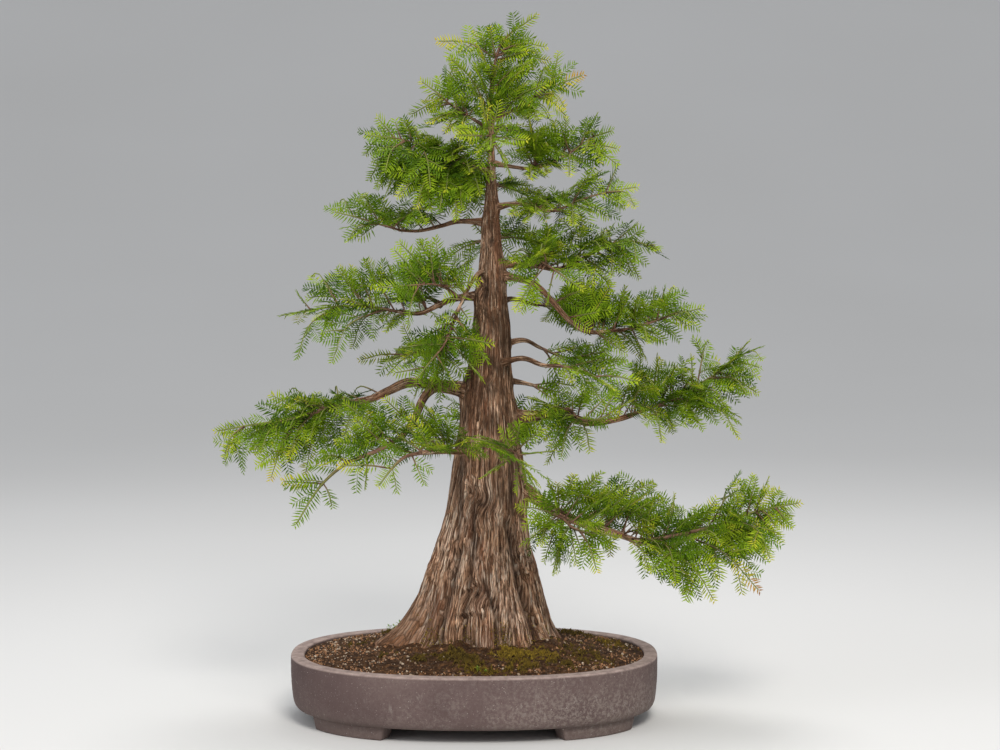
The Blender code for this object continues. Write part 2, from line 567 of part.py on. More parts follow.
def make_wood():
    rings = [trunk_ring(z) for z in TRUNK_HEIGHTS]
    top, _ = between(TRUNK, TRUNK_TOP_Z)
    foot_x, _ = between(TRUNK, ROOT_FLOOR_Z)
    pieces = [loose_object(loft(rings, (foot_x, 0, ROOT_FLOOR_Z), (top, 0, TRUNK_TOP_Z)))]
    for name, (thick, _, route) in LIMBS.items():
        pieces.append(tube(route, limb_radii(name), sum(thick > limit for limit in SIDED_FROM)))
    wood = fuse("wood", pieces, bark, "EXACT")
    shade(wood)


def soil_height(point, share):
    """The mound's surface, from the tray's edge at share 0 to the root base at share 1."""
    edge = RIM_Z - SOIL_EDGE_DROP
    left = min(max((POT_X - point.x) / (POT_HALF_LENGTH - RIM_WIDTH), 0.0), 1.0)
    top = MOUND_Z + (MOUND_LEFT_Z - MOUND_Z) * left
    wave_x, wave_y, turn = SOIL_WAVES
    lump = SOIL_LUMP * math.sin(wave_x * point.x) * math.cos(wave_y * point.y + turn * point.x)
    return edge + (top - edge) * math.sin(share * math.pi / 2) + lump * math.sin(share * math.pi)


def make_soil():
    """Fills the tray's inside, and holds the root base in a plain hole of the trunk's own outline."""
    rings = []
    for inset, z in reversed(WALL_INSIDE[2:]):
        rings.append(oval(inset + SOIL_GAP, z + GAP))
    edge = oval(RIM_WIDTH + SOIL_GAP, 0.0)
    hole = trunk_ring(SOIL_LINE_Z, SOIL_GAP)
    for step in range(SOIL_RINGS + 1):
        share = step / SOIL_RINGS
        ring = [a.lerp(b, share) for a, b in zip(edge, hole)]
        for point in ring:
            point.z = soil_height(point, share)
        rings.append(ring)
    rings.append(trunk_ring(SOIL_LINE_Z, SOIL_GAP, at=ROOT_FLOOR_Z - GAP))
    foot_x, _ = between(TRUNK, ROOT_FLOOR_Z)
    mesh = loft(rings, (POT_X, 0, FLOOR_Z + GAP), (foot_x, 0, ROOT_FLOOR_Z - GAP))
    soil = add_object("soil", mesh, grit)
    pockets = []
    for side in (-1, 1):
        size = (SCREEN_SIDE + 2 * GAP, SCREEN_SIDE + 2 * GAP, 2 * (SCREEN_THICK + 2 * GAP))
        pockets.append(block((POT_X + side * DRAIN_X, 0, FLOOR_Z), size))
    cut(soil, as_cutters(pockets))
    shade(soil)


def segment_gaps(start, end, starts, ends):
    """Least distances from one segment to each of many."""
    along, others, apart = end - start, ends - starts, start - starts
    a, e = along @ along, np.maximum((others * others).sum(1), 1e-12)
    b, c, f = others @ along, apart @ along, (others * apart).sum(1)
    spread = a * e - b * b
    s = np.clip(np.where(spread > 1e-14, (b * f - c * e) / np.maximum(spread, 1e-14), 0.0), 0, 1)
    t = (b * s + f) / e
    s = np.where(t < 0, np.clip(-c / a, 0, 1), np.where(t > 1, np.clip((b - c) / a, 0, 1), s))
    t = np.clip(t, 0, 1)
    return np.linalg.norm(start + s[:, None] * along - (starts + t[:, None] * others), axis=1)


class Room:
    """Remembers where wood and sprays already are, so that what comes next can keep clear."""

    def __init__(self):
        self.starts, self.ends, self.radii, self.owners = [], [], [], []

    def take(self, owner, points, radii):
        for start, end, r0, r1 in zip(points, points[1:], radii, radii[1:]):
            self.starts.append(start)
            self.ends.append(end)
            self.radii.append(max(r0, r1))
            self.owners.append(owner)

    def is_clear(self, owners, start, end, radius):
        for share in (0.0, 0.5, 1.0):
            x, y, z = start.lerp(end, share)
            centre, _ = between(TRUNK, z)
            if z < TRUNK_TOP_Z:
                reach = math.hypot(x - centre, y) - radius
                if reach < trunk_radius(z, math.atan2(y, x - centre)) + CLEAR:
                    return False
        gaps = segment_gaps(np.array(start), np.array(end), np.array(self.starts), np.array(self.ends))
        short = gaps < np.array(self.radii) + radius + CLEAR
        return all(self.owners[i] in owners for i in np.flatnonzero(short))


def stem_of(name):
    """The stem's points and radii, from just clear of its limb's end."""
    _, thin, route = LIMBS[name]
    end, before = Vector(route[-1]), Vector(route[-2])
    passed, tips = SPRAYS[name]
    points = [end + (end - before).normalized() * GAP, *map(Vector, passed), Vector(tips[0])]
    base, last = thin * STEM_RADIUS_SHARE, len(points) - 1
    return points, [base + (STEM_TIP_RADIUS - base) * i / last for i in range(last + 1)]


def leaving_point(stem, tip):
    """Where a twig to tip leaves the stem: below the nearest point, so that it branches forwards."""
    lengths = [(b - a).length for a, b in zip(stem, stem[1:])]
    first, last = STEM_REACH
    best = None
    travelled = 0.0
    for a, b, length in zip(stem, stem[1:], lengths):
        share = min(max((tip - a).dot(b - a) / length**2, 0.0), 1.0)
        distance = (tip - a.lerp(b, share)).length
        if best is None or distance < best[0]:
            best = (distance, travelled + share * length)
        travelled += length
    target = min(max(best[1] - BACK_OFF * best[0], first * travelled), last * travelled)
    for a, b, length in zip(stem, stem[1:], lengths):
        if target <= length:
            return a.lerp(b, target / length), (b - a).normalized()
        target -= length
    return stem[-1], (stem[-1] - stem[-2]).normalized()


def twig_route(start, heading, tip):
    """An arched route from the stem to the tip; a short twig is one straight piece."""
    length = (tip - start).length
    if length < LONG_TWIG:
        return [start, tip]
    middle = start.lerp(tip, 0.5) + heading * TWIG_SWEEP * length + Vector((0, 0, TWIG_ARCH * length))
    return [start, middle, tip]


def bent_clear(room, owner, stem, tip):
    """The route to the tip, bent up, down or aside where it would come too near something else."""
    steps = [Vector((0, 0, 0))]
    for size in (1, 2, 3):
        for x, y, z in ((0, 0, 1), (0, 0, -1), (0, 1, 0), (0, -1, 0), (1, 0, 0), (-1, 0, 0)):
            steps.append(Vector((x, y, z)) * size * BEND_STEP)
    for step in steps:
        start, heading = leaving_point(stem, tip + step)
        route = twig_route(start, heading, tip + step)
        if all(room.is_clear((owner,), a, b, TWIG_RADIUS) for a, b in zip(route, route[1:])):
            return route
    return None


def along(route, back):
    """The point this far back from the route's end, and the direction there."""
    for a, b in zip(reversed(route[:-1]), reversed(route[1:])):
        length = (b - a).length
        if back <= length:
            return b.lerp(a, back / length), (b - a).normalized()
        back -= length
    return route[0], (route[1] - route[0]).normalized()


def across(heading, roll):
    """The direction in which a twig's right-hand needles lean out, turned by roll about the twig."""
    side = heading.cross(Vector((0, 0, 1)))
    if side.length < UPRIGHT:
        side = Vector((1, 0, 0))
    return Matrix.Rotation(roll, 3, heading) @ side.normalized()


def needle_places(route, most):
    """How far back from the tip each pair of needles stands."""
    length = sum((b - a).length for a, b in zip(route, route[1:]))
    pairs = min(max(round(length * NEEDLED_SHARE / NEEDLE_STEP), 2), most)
    return [FIRST_NEEDLE + pair * NEEDLE_STEP for pair in range(pairs)]


def needle_tips(route, back, roll, draw):
    """Where the two needles of a pair end."""
    place, heading = along(route, back)
    side = across(heading, roll)
    reach = NEEDLE_LENGTH * (END_NEEDLE if back == FIRST_NEEDLE else 1.0) * draw.uniform(*NEEDLE_VARIES)
    forward = heading * math.cos(NEEDLE_SPREAD)
    return place, [place + (forward + side * hand * math.sin(NEEDLE_SPREAD)) * reach for hand in (1, -1)]


def ring_on(bm, place, heading, roll, radius):
    """The twig's section: a triangle with its flat side below, so that two faces look up and out."""
    side = across(heading, roll)
    up = side.cross(heading).normalized()
    corners = []
    for angle in (90, 210, 330):
        turn = math.radians(angle)
        corners.append(bm.verts.new(place + (side * math.cos(turn) + up * math.sin(turn)) * radius))
    return corners


def needled_twig(route, thick, thin, facing, pairs, roll):
    """A closed twig along route, with needles drawn out of its faces; pairs gives place and ends.

    Its base is a flat cap that faces along facing or, where that is None, a pointed root.
    """
    total = sum((b - a).length for a, b in zip(route, route[1:]))
    stops = []
    travelled = total
    for a, b, c in zip(route, route[1:], route[2:]):
        travelled -= (b - a).length
        stops.append((travelled, b, ((b - a).normalized() + (c - b).normalized()).normalized(), None))
    stops = [stop for stop in stops
             if all(abs(stop[0] - back) > 2 * NEEDLE_HALF_BASE for back, _ in pairs)]
    for back, ends in pairs:
        for shift, mark in ((NEEDLE_HALF_BASE, None), (-NEEDLE_HALF_BASE, ends)):
            place, heading = along(route, back + shift)
            stops.append((back + shift, place, heading, mark))
    heading = (route[1] - route[0]).normalized()
    if facing is None:
        stops.append((total - TWIG_ROOT, route[0] + heading * TWIG_ROOT, heading, None))
    else:
        stops.append((total, route[0], facing, None))
    stops.sort(key=lambda stop: -stop[0])
    bm = bmesh.new()
    rows = []
    for back, place, heading, ends in stops:
        radius = thin + (thick - thin) * back / total
        rows.append((ring_on(bm, place, heading, roll, radius), ends))
    if facing is None:
        root = bm.verts.new(route[0])
        first = rows[0][0]
        for i in range(3):
            bm.faces.new((root, first[(i + 1) % 3], first[i]))
    else:
        bm.faces.new(reversed(rows[0][0]))
    for (low, _), (high, ends) in zip(rows, rows[1:]):
        for i in range(3):
            j = (i + 1) % 3
            corners = (low[i], low[j], high[j], high[i])
            # Face 0 looks left, face 1 down and face 2 right
            if ends is None or i == 1:
                bm.faces.new(corners)
                continue
            point = bm.verts.new(ends[0] if i == 2 else ends[1])
            for k in range(4):
                bm.faces.new((corners[k], corners[(k + 1) % 4], point))
    tip, last = bm.verts.new(route[-1]), rows[-1][0]
    for i in range(3):
        bm.faces.new((last[i], last[(i + 1) % 3], tip))
    bmesh.ops.recalc_face_normals(bm, faces=bm.faces)
    mesh = bpy.data.meshes.new("twig")
    bm.to_mesh(mesh)
    bm.free()
    return loose_object(mesh)


def leafy(owner, route, thick, thin, facing, most, room, draw):
    """A twig or stem with the pairs of needles that keep clear of other sprays and the wood."""
    roll = draw.uniform(-ROLL_SPREAD, ROLL_SPREAD)
    pairs = []
    for back in needle_places(route, most):
        place, ends = needle_tips(route, back, roll, draw)
        if all(room.is_clear((owner,), place, end, NEEDLE_HALF_BASE) for end in ends):
            pairs.append((back, ends))
    twig = needled_twig(route, thick, thin, facing, pairs, roll)
    for back, ends in pairs:
        place, _ = along(route, back)
        for end in ends:
            room.take(owner, [place, end], [NEEDLE_HALF_BASE, 0.0])
    return twig


def make_spray(name, room, draw):
    stem, radii = stem_of(name)
    room.take(name, stem, radii)
    limb = LIMBS[name][2]
    facing = (Vector(limb[-1]) - Vector(limb[-2])).normalized()
    pieces = [leafy(name, stem, radii[0], radii[-1], facing, STEM_PAIRS, room, draw)]
    for tip in SPRAYS[name][1][1:]:
        route = bent_clear(room, name, stem, Vector(tip))
        if route is None:
            continue
        room.take(name, route, [TWIG_RADIUS] * len(route))
        pieces.append(leafy(name, route, TWIG_RADIUS, TWIG_TIP_RADIUS, None, TWIG_PAIRS, room, draw))
    fuse("spray_" + name, pieces, needle_green, "MANIFOLD")


def make_sprays():
    room, draw = Room(), random.Random(SEED)
    for name, (_, _, route) in LIMBS.items():
        room.take("wood", list(map(Vector, route)), limb_radii(name))
    for name in SPRAYS:
        make_spray(name, room, draw)


clear_scene()
bonsai = bpy.data.collections.new("bald_cypress_bonsai")
cutters = bpy.data.collections.new("cutters")
for collection in (bonsai, cutters):
    bpy.context.scene.collection.children.link(collection)
clay = new_material("clay", (0.140, 0.103, 0.091), 0.85)
grit = new_material("grit", (0.080, 0.045, 0.025), 0.95)
bark = new_material("bark", (0.190, 0.095, 0.062), 0.90)
needle_green = new_material("needle_green", (0.100, 0.280, 0.022), 0.55)
black_plastic = new_material("black_plastic", (0.015, 0.015, 0.015), 0.60)
make_pot()
make_screens()
make_soil()
make_wood()
make_sprays()
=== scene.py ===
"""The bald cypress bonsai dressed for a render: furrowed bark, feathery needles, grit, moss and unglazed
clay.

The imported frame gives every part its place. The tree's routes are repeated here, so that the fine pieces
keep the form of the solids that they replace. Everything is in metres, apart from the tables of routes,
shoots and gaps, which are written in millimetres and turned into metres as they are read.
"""

import math
import random

import bpy
import numpy as np
from mathutils import Matrix, Vector, noise


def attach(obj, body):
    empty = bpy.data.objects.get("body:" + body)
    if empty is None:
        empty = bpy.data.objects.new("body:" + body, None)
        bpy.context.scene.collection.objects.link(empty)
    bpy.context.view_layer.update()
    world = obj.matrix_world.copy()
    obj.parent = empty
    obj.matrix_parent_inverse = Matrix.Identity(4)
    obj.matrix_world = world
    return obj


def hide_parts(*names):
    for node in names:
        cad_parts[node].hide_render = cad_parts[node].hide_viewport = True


SEED = 11


def in_metres(table):
    """The same table with its millimetres turned into metres."""
    if isinstance(table, dict):
        return {name: in_metres(row) for name, row in table.items()}
    if isinstance(table, tuple):
        return tuple(in_metres(part) for part in table)
    return table / 1000


# Camera, fitted to the photograph's view
CAMERA_PLACE = (-0.009, -3.0, 0.65)
CAMERA_PITCH = math.radians(4.122)
CAMERA_LENS = 85.9
FLOOR_SIZE = 24.0
FLOOR_BENDS_AT = 3.0
FLOOR_BEND = 0.06

# Tray
POT_X = -0.0415
POT_HALF_LENGTH = 0.232
POT_HALF_DEPTH = 0.179
POT_SQUARENESS = 2.3
POT_SIDES = 160
FLOOR_Z = 0.0255
FOOT_HEIGHT = 0.0165
# Wall profile from the underside up, over the rim and down to the floor: inset from the outer oval, height
TRAY_PROFILE = (
    (0.0130, 0.0165), (0.0098, 0.0169), (0.0078, 0.0178), (0.0060, 0.0190), (0.0043, 0.0215),
    (0.0031, 0.0250), (0.0024, 0.0290), (0.0013, 0.0380), (0.0005, 0.0470), (0.0001, 0.0560),
    (0.0, 0.0660), (0.0, 0.0770), (0.0001, 0.0800), (0.0003, 0.0812), (0.0008, 0.0820),
    (0.0016, 0.0824), (0.0030, 0.0825), (0.0085, 0.0826), (0.0145, 0.0825), (0.0159, 0.0822),
    (0.0166, 0.0815), (0.0170, 0.0800), (0.0170, 0.0700), (0.0170, 0.0500), (0.0180, 0.0420),
    (0.0230, 0.0310), (0.0350, 0.0255),
)
FOOT_BEARINGS = (45, 135, 225, 315)
FOOT_HALF_SPAN = 19
FOOT_INSET = 0.012
FOOT_WIDTH = 0.024
FOOT_LEAN = 0.90  # the foot's size on the table, as a share of its size under the tray
FOOT_SUNK = 0.003
FOOT_STEPS = 20
FOOT_ROUNDING = 0.0018
FOOT_ROUNDING_PARTS = 3
DRAIN_X = 0.085
DRAIN_RADIUS = 0.012
DRILL_SIDES = 48
DRILL_DEPTH = 0.040
THROWN_UNEVEN = 0.0005  # how far the hand-made wall strays from its oval
THROWN_WAVES = ((14, 1.0), (45, 0.4))  # changes a metre and share of each wave of it
# The middle of the floor stays even round the drains, to this far from the middle and this high
EVEN_HALF = 0.15
EVEN_HIGH = 0.002
TRAY_SMOOTH = 35  # sharper edges than this, in degrees, stay edges

# Soil, grit and moss
SOIL_INSET = 0.0166
SOIL_EDGE_Z = 0.0785
MOUND_Z = 0.0950
MOUND_LEFT_Z = 0.0910
SOIL_SIDES = 240
SOIL_RINGS = 40
SOIL_BOTTOM_Z = 0.0262
# The bed against the tray's wall, from the floor up: inset from the outer oval, height
SOIL_WALL = ((0.0350, SOIL_BOTTOM_Z), (0.0240, 0.0318), (0.0185, 0.0430), (0.0174, 0.0600))
SOIL_GAP = 0.0004  # between the bed's upper edge and the wall
UNDER_ROOTS = 0.006  # how far the bed goes on under the roots, and how deep its middle lies
MIDDLE_SUNK = 0.004
MOUND_SHARE = 0.62  # the part of the way from the edge to the middle over which the mound rises
SOIL_CREEP = 0.0068  # how far the soil rises against the roots, and over what distance
CREEP_REACH = 0.011
CREEP_PATCHES = (0.5, 0.9, 45)  # mean share of the creep, its variation, changes a metre
SOIL_LUMPS = ((55, 0.0012), (170, 0.0009), (420, 0.0005))  # changes a metre, height
WALL_LUMPS = 0.35  # share of the lumps' height at the wall, and how fast it grows inwards
LUMPS_GROW = 4
# Soil heaped against the roots: x, y, radius, height
SOIL_HEAPS = (
    (-0.067, -0.066, 0.018, 0.0085), (-0.032, -0.076, 0.008, 0.0030), (-0.008, -0.074, 0.009, 0.0045),
    (0.056, -0.040, 0.022, 0.0070), (-0.110, -0.030, 0.016, 0.0030),
)
MOSS_HEIGHT = 0.0062
MOSS_BREAKS = ((60, 1, 0.65), (150, 5, 0.95))  # changes a metre, layer, size of what breaks the patches
MOSS_EDGE = 0.42  # the cover that the broken edge takes off
# Patches of moss: x, y, half length, half depth, how thick, how yellow
MOSS = (
    (-0.067, -0.090, 0.015, 0.018, 0.90, 0.55), (-0.044, -0.112, 0.018, 0.018, 0.80, 0.60),
    (-0.030, -0.142, 0.030, 0.012, 0.70, 0.80), (0.002, -0.088, 0.018, 0.018, 0.95, 1.00),
    (0.034, -0.086, 0.026, 0.022, 0.95, 1.00), (0.018, -0.126, 0.024, 0.016, 0.62, 0.75),
    (0.080, -0.050, 0.028, 0.024, 0.60, 0.55), (0.082, 0.090, 0.028, 0.045, 1.10, 0.55),
    (0.134, 0.026, 0.026, 0.036, 0.60, 0.80), (-0.146, 0.110, 0.024, 0.030, 1.00, 0.55),
    (-0.036, 0.112, 0.040, 0.022, 0.80, 0.35), (-0.196, 0.020, 0.016, 0.018, 0.45, 0.60),
    (-0.100, -0.094, 0.018, 0.012, 0.62, 0.50), (0.110, -0.080, 0.024, 0.022, 0.50, 0.65),
    (-0.150, -0.070, 0.014, 0.012, 0.40, 0.45), (0.072, -0.110, 0.020, 0.014, 0.45, 0.60),
)
# Weed seedlings: x, y, height
SEEDLINGS = (
    (-0.132, 0.100, 0.016), (-0.140, 0.112, 0.014), (-0.126, 0.116, 0.012), (-0.148, 0.100, 0.010),
    (-0.036, -0.146, 0.008), (-0.026, -0.150, 0.006), (-0.155, 0.112, 0.010),
)
STALK_WIDTH = 0.0007
LEAVES = 7
LEAF_TURN = 2.4  # radians from one leaf to the next, give or take the stray
LEAF_TURN_STRAY = 0.3
LEAF_RISE = (0.15, 0.9)
LEAF_PLACE = (0.45, 0.08)  # shares of the height: the lowest leaf, and the step to the next
LEAF_LENGTH = (0.45, 0.70)  # shares of the height
LEAF_WIDTH = 0.55  # shares of the leaf's length
LEAF_THICK = 0.10

# Trunk: height, centre x and half width
TRUNK = (
    (0.070, -0.0330, 0.0830), (0.096, -0.0330, 0.0830), (0.114, -0.0325, 0.0805), (0.132, -0.0318, 0.0780),
    (0.150, -0.0312, 0.0742), (0.187, -0.0305, 0.0658), (0.217, -0.0300, 0.0572), (0.264, -0.0265, 0.0485),
    (0.330, -0.0240, 0.0425), (0.376, -0.0240, 0.0350), (0.441, -0.0215, 0.0277), (0.496, -0.0200, 0.0239),
    (0.550, -0.0200, 0.0182), (0.614, -0.0205, 0.0125), (0.650, -0.0200, 0.0092), (0.702, -0.0200, 0.0036),
)
SOIL_LINE_Z = 0.096
ROOT_X = -0.0330
TRUNK_FOOT_Z = 0.078
TRUNK_TOP_Z = 0.702
DEPTH_AT_BASE = 0.74
DEPTH_AT_TOP = 0.97
ROUND_FROM_Z = 0.330
# Root buttresses: bearing in degrees from +X towards +Y, reach beyond the trunk at the soil, half width
BUTTRESSES = (
    (187, 0.052, 13), (218, 0.019, 12), (246, 0.009, 10), (272, 0.005, 9), (291, 0.010, 9),
    (315, 0.013, 11), (342, 0.018, 11), (10, 0.020, 12), (42, 0.016, 13), (78, 0.012, 13),
    (112, 0.016, 13), (150, 0.020, 14),
)
ROOT_FALL = 0.030
RIB_SHARE = 0.075
RIB_FALL = 0.150
BARK_SIDES = 240
BARK_ROWS = 300
ROW_GROWTH = 1.12  # above 1, rows of bark lie closer together near the roots
END_FURROW = 0.5
GRAIN_RADIUS = 0.05  # where the trunk has this radius, the bark's pattern has its true width
# The bark's full relief is this share of the trunk's half width, and this much more
RELIEF_SHARE = 0.6
RELIEF_LEAST = 0.014
BARK_DRIFT = (0.35, 2.5, 9)  # how far the relief's pattern wanders, turns round the trunk, changes a metre
# Waves of the trunk's surface: turns round the trunk, changes a metre up it, share of the full relief
BARK_WAVES = ((1.9, 3.0, 0.080), (4.6, 5.0, 0.070), (11.0, 10.0, 0.030))
# Plates of bark with cracks between them: turns, changes a metre, share of the full relief
BARK_PLATES = ((11.0, 4.0, 0.022), (27.0, 9.0, 0.015))
PLATE_STEEP = 2.6
PLATE_SUNK = 0.7  # how much of a plate's height is taken off again, so that the trunk keeps its size
CRACK_DARK = 0.72
CRACK_FAINTEST = 0.25  # the least share of that on thin wood, and the half width that adds a whole one
CRACK_HALF = 0.035
# Grooves between the buttresses, seen from the front: points x, z from the top down, half width, depth
GROOVES = (
    (((0.0040, 0.250), (0.0140, 0.200), (0.0205, 0.168), (0.0290, 0.140), (0.0430, 0.104)), 0.0085, 0.0110),
    (((-0.0640, 0.215), (-0.0755, 0.165), (-0.0830, 0.135), (-0.0880, 0.104)), 0.0085, 0.0115),
    (((-0.0440, 0.270), (-0.0430, 0.220), (-0.0480, 0.182), (-0.0520, 0.150), (-0.0550, 0.104)),
     0.0065, 0.0085),
    (((-0.0290, 0.180), (-0.0200, 0.158), (-0.0120, 0.134), (-0.0105, 0.104)), 0.0060, 0.0080),
    (((-0.0620, 0.330), (-0.0600, 0.270), (-0.0640, 0.230)), 0.0050, 0.0045),
    (((0.0060, 0.350), (0.0060, 0.300), (0.0100, 0.260)), 0.0050, 0.0045),
)
GROOVE_FALL = 1.35  # how fast a groove's depth and its painted shade fall off to the sides, in half widths
GROOVE_SHADE_FALL = 0.72
# Scars and hollows, seen from the front: x, z, half width, half height, depth
SCARS = (
    (-0.0329, 0.2740, 0.0165, 0.0190, 0.0050),
    (-0.0400, 0.1600, 0.0150, 0.0125, 0.0120),
    (-0.0290, 0.5420, 0.0058, 0.0140, 0.0048),
    (-0.0190, 0.6020, 0.0045, 0.0070, 0.0022),
    (-0.0220, 0.4300, 0.0060, 0.0110, 0.0018),
)
SWIRL = 0.8  # how far the grain turns about the middle of a scar
SCAR_LOBES = ((2, 400, 0.17), (5, 300, 0.12))  # count round a scar, turn with its x or z, how far they stray
# Distances from a scar's middle are in its half widths, and heights in its depth
SCAR_FALL = 1.3
# Painted shade in a scar's dent: how dark its middle is, and how fast that falls off
SCAR_SHADE = 0.85
SCAR_SHADE_FALL = 0.8
LIP_HEIGHT = 0.45
LIP_PLACE = 1.35
LIP_WIDTH = 0.38
RING_HEIGHT = 0.13
RING_CHANGES = 8.0
RING_REACH = 1.3
# Root bumps and burls: x, y, z, radius, how far they stand out
BURLS = (
    (-0.0440, -0.070, 0.108, 0.010, 0.0055), (-0.0240, -0.072, 0.106, 0.009, 0.0050),
    (-0.0870, -0.020, 0.2263, 0.008, 0.0045), (0.012, -0.070, 0.112, 0.012, 0.0045),
    (-0.0660, -0.060, 0.118, 0.011, 0.0040), (-0.012, 0.040, 0.330, 0.010, 0.0040),
)
COLLAR_BUMP = (2.0, 0.75)  # the trunk's swelling round a limb's foot: radius and height in the limb's radius
BUMP_SQUASH = (1, 1, 0.8)  # below 1, bumps are longer that way
EXIT_STEPS = 40

# Limbs: radius where it leaves the trunk, radius at its end, and the points it passes
LIMBS = in_metres({
    "leader": (5.6, 1.8, (
        (-19.6, 0, 678), (-20.5, 0, 720), (-20.5, 0, 760), (-19.5, 0, 795), (-16, 0, 822))),
    "right_low": (8.5, 3.4, (
        (-10, -4, 290), (22, -8, 287), (63, -20, 262), (104, -30, 246), (136, -30, 237), (168, -30, 225))),
    "right_low_front": (4, 2.2, ((50, -16, 270), (60, -45, 270), (66, -70, 264))),
    "right_low_back": (4.2, 2.2, ((95, -26, 249), (112, 4, 258), (124, 40, 254))),
    "right_mid": (7.8, 3.2, (
        (-12, 0, 376), (10, 0, 381), (42, 10, 382), (68, 20, 383), (103, 20, 372), (136, 20, 375),
        (160, 20, 382))),
    "right_mid_front": (3.6, 2, ((66, 18, 383), (76, -18, 392), (83, -48, 388))),
    "right_stub": (3.2, 1.6, ((-6, 4, 428), (22, 18, 422), (46, 30, 415))),
    "right_twig": (3, 1.6, ((-6, 4, 472), (21, 12, 477), (43, 30, 466), (73, 58, 452))),
    "right_curved": (4.6, 2.2, (
        (-16, 0, 561), (27, -20, 552), (49, -30, 536), (66, -30, 516), (81, -30, 501), (104, -20, 489),
        (146, -2, 491))),
    "right_high": (4, 2, ((-16, 0, 574), (35, 4, 571), (67, 20, 567), (101, 28, 583), (126, 28, 597))),
    "right_high_front": (2.8, 1.6, ((30, 3, 571), (40, -24, 578), (46, -46, 576))),
    "right_top": (3.4, 1.6, ((-18, 0, 644), (16, -16, 649), (50, -16, 640), (73, -10, 645))),
    "right_crown": (2.6, 1.4, ((-20, 0, 700), (27, 2, 693), (53, 8, 699), (72, 8, 708))),
    "left_low": (8.8, 4, (
        (-36, 0, 404), (-56, 0, 415), (-92, 2, 421), (-122, 8, 424), (-148, 8, 414), (-169, 2, 404),
        (-194, -4, 399))),
    "left_fork": (6.2, 3.6, ((-88, 2, 421), (-103, -30, 409), (-114, -56, 386), (-130, -82, 362))),
    "left_front": (5.2, 2.8, ((-36, -14, 338), (-54, -62, 343), (-80, -104, 348), (-104, -140, 350))),
    "front_low": (4.4, 2.4, ((-20, -14, 342), (-4, -66, 350), (4, -112, 350), (8, -140, 350))),
    "left_mid": (4.6, 2.2, (
        (-26, 0, 533), (-44, 0, 533), (-70, -8, 529), (-91, -16, 520), (-111, -16, 512), (-137, -8, 514))),
    "left_mid_front": (2.8, 1.6, ((-62, -5, 531), (-76, -34, 545), (-86, -58, 549))),
    "left_mid_back": (3, 1.6, ((-84, -14, 523), (-98, 22, 530), (-108, 52, 527))),
    "left_hanging": (2.6, 1.6, ((-26, -6, 566), (-40, -30, 558), (-60, -62, 520), (-70, -78, 492))),
    "left_upper": (3.6, 1.8, ((-20, 0, 626), (-60, 0, 627), (-84, 8, 621), (-112, 8, 615), (-136, 2, 616))),
    "left_high": (2.8, 1.5, ((-20, 0, 688), (-62, 0, 701), (-101, 0, 720))),
    "crown_left": (2.2, 1.3, ((-20.5, 0, 742), (-40, -3, 753), (-58, -5, 764))),
    "crown_right": (2.2, 1.3, ((-20.5, 0, 752), (4, 0, 764), (26, 0, 778))),
    "crown_front": (2.2, 1.3, ((-20.5, -1, 716), (-22, -26, 722), (-21, -48, 728))),
    "crown_back": (2.2, 1.3, ((-20.5, 1, 728), (-15, 30, 736), (-12, 52, 742))),
    "back_low": (7.2, 3, ((-24, 12, 350), (-20, 60, 360), (-30, 104, 352), (-24, 144, 356))),
    "back_left": (4.8, 2.2, ((-26, 6, 462), (-52, 46, 468), (-84, 88, 458))),
    "back_right": (4.2, 2, ((-18, 4, 520), (6, 44, 528), (36, 82, 519))),
    "back_high": (3.6, 1.7, ((-20, 3, 600), (-30, 48, 608), (-26, 86, 603))),
    "back_top": (2.8, 1.5, ((-20, 2, 664), (-12, 36, 674), (-16, 64, 673))),
    "front_right": (4, 2.2, ((-14, -10, 448), (18, -50, 458), (44, -86, 452), (64, -114, 453))),
})

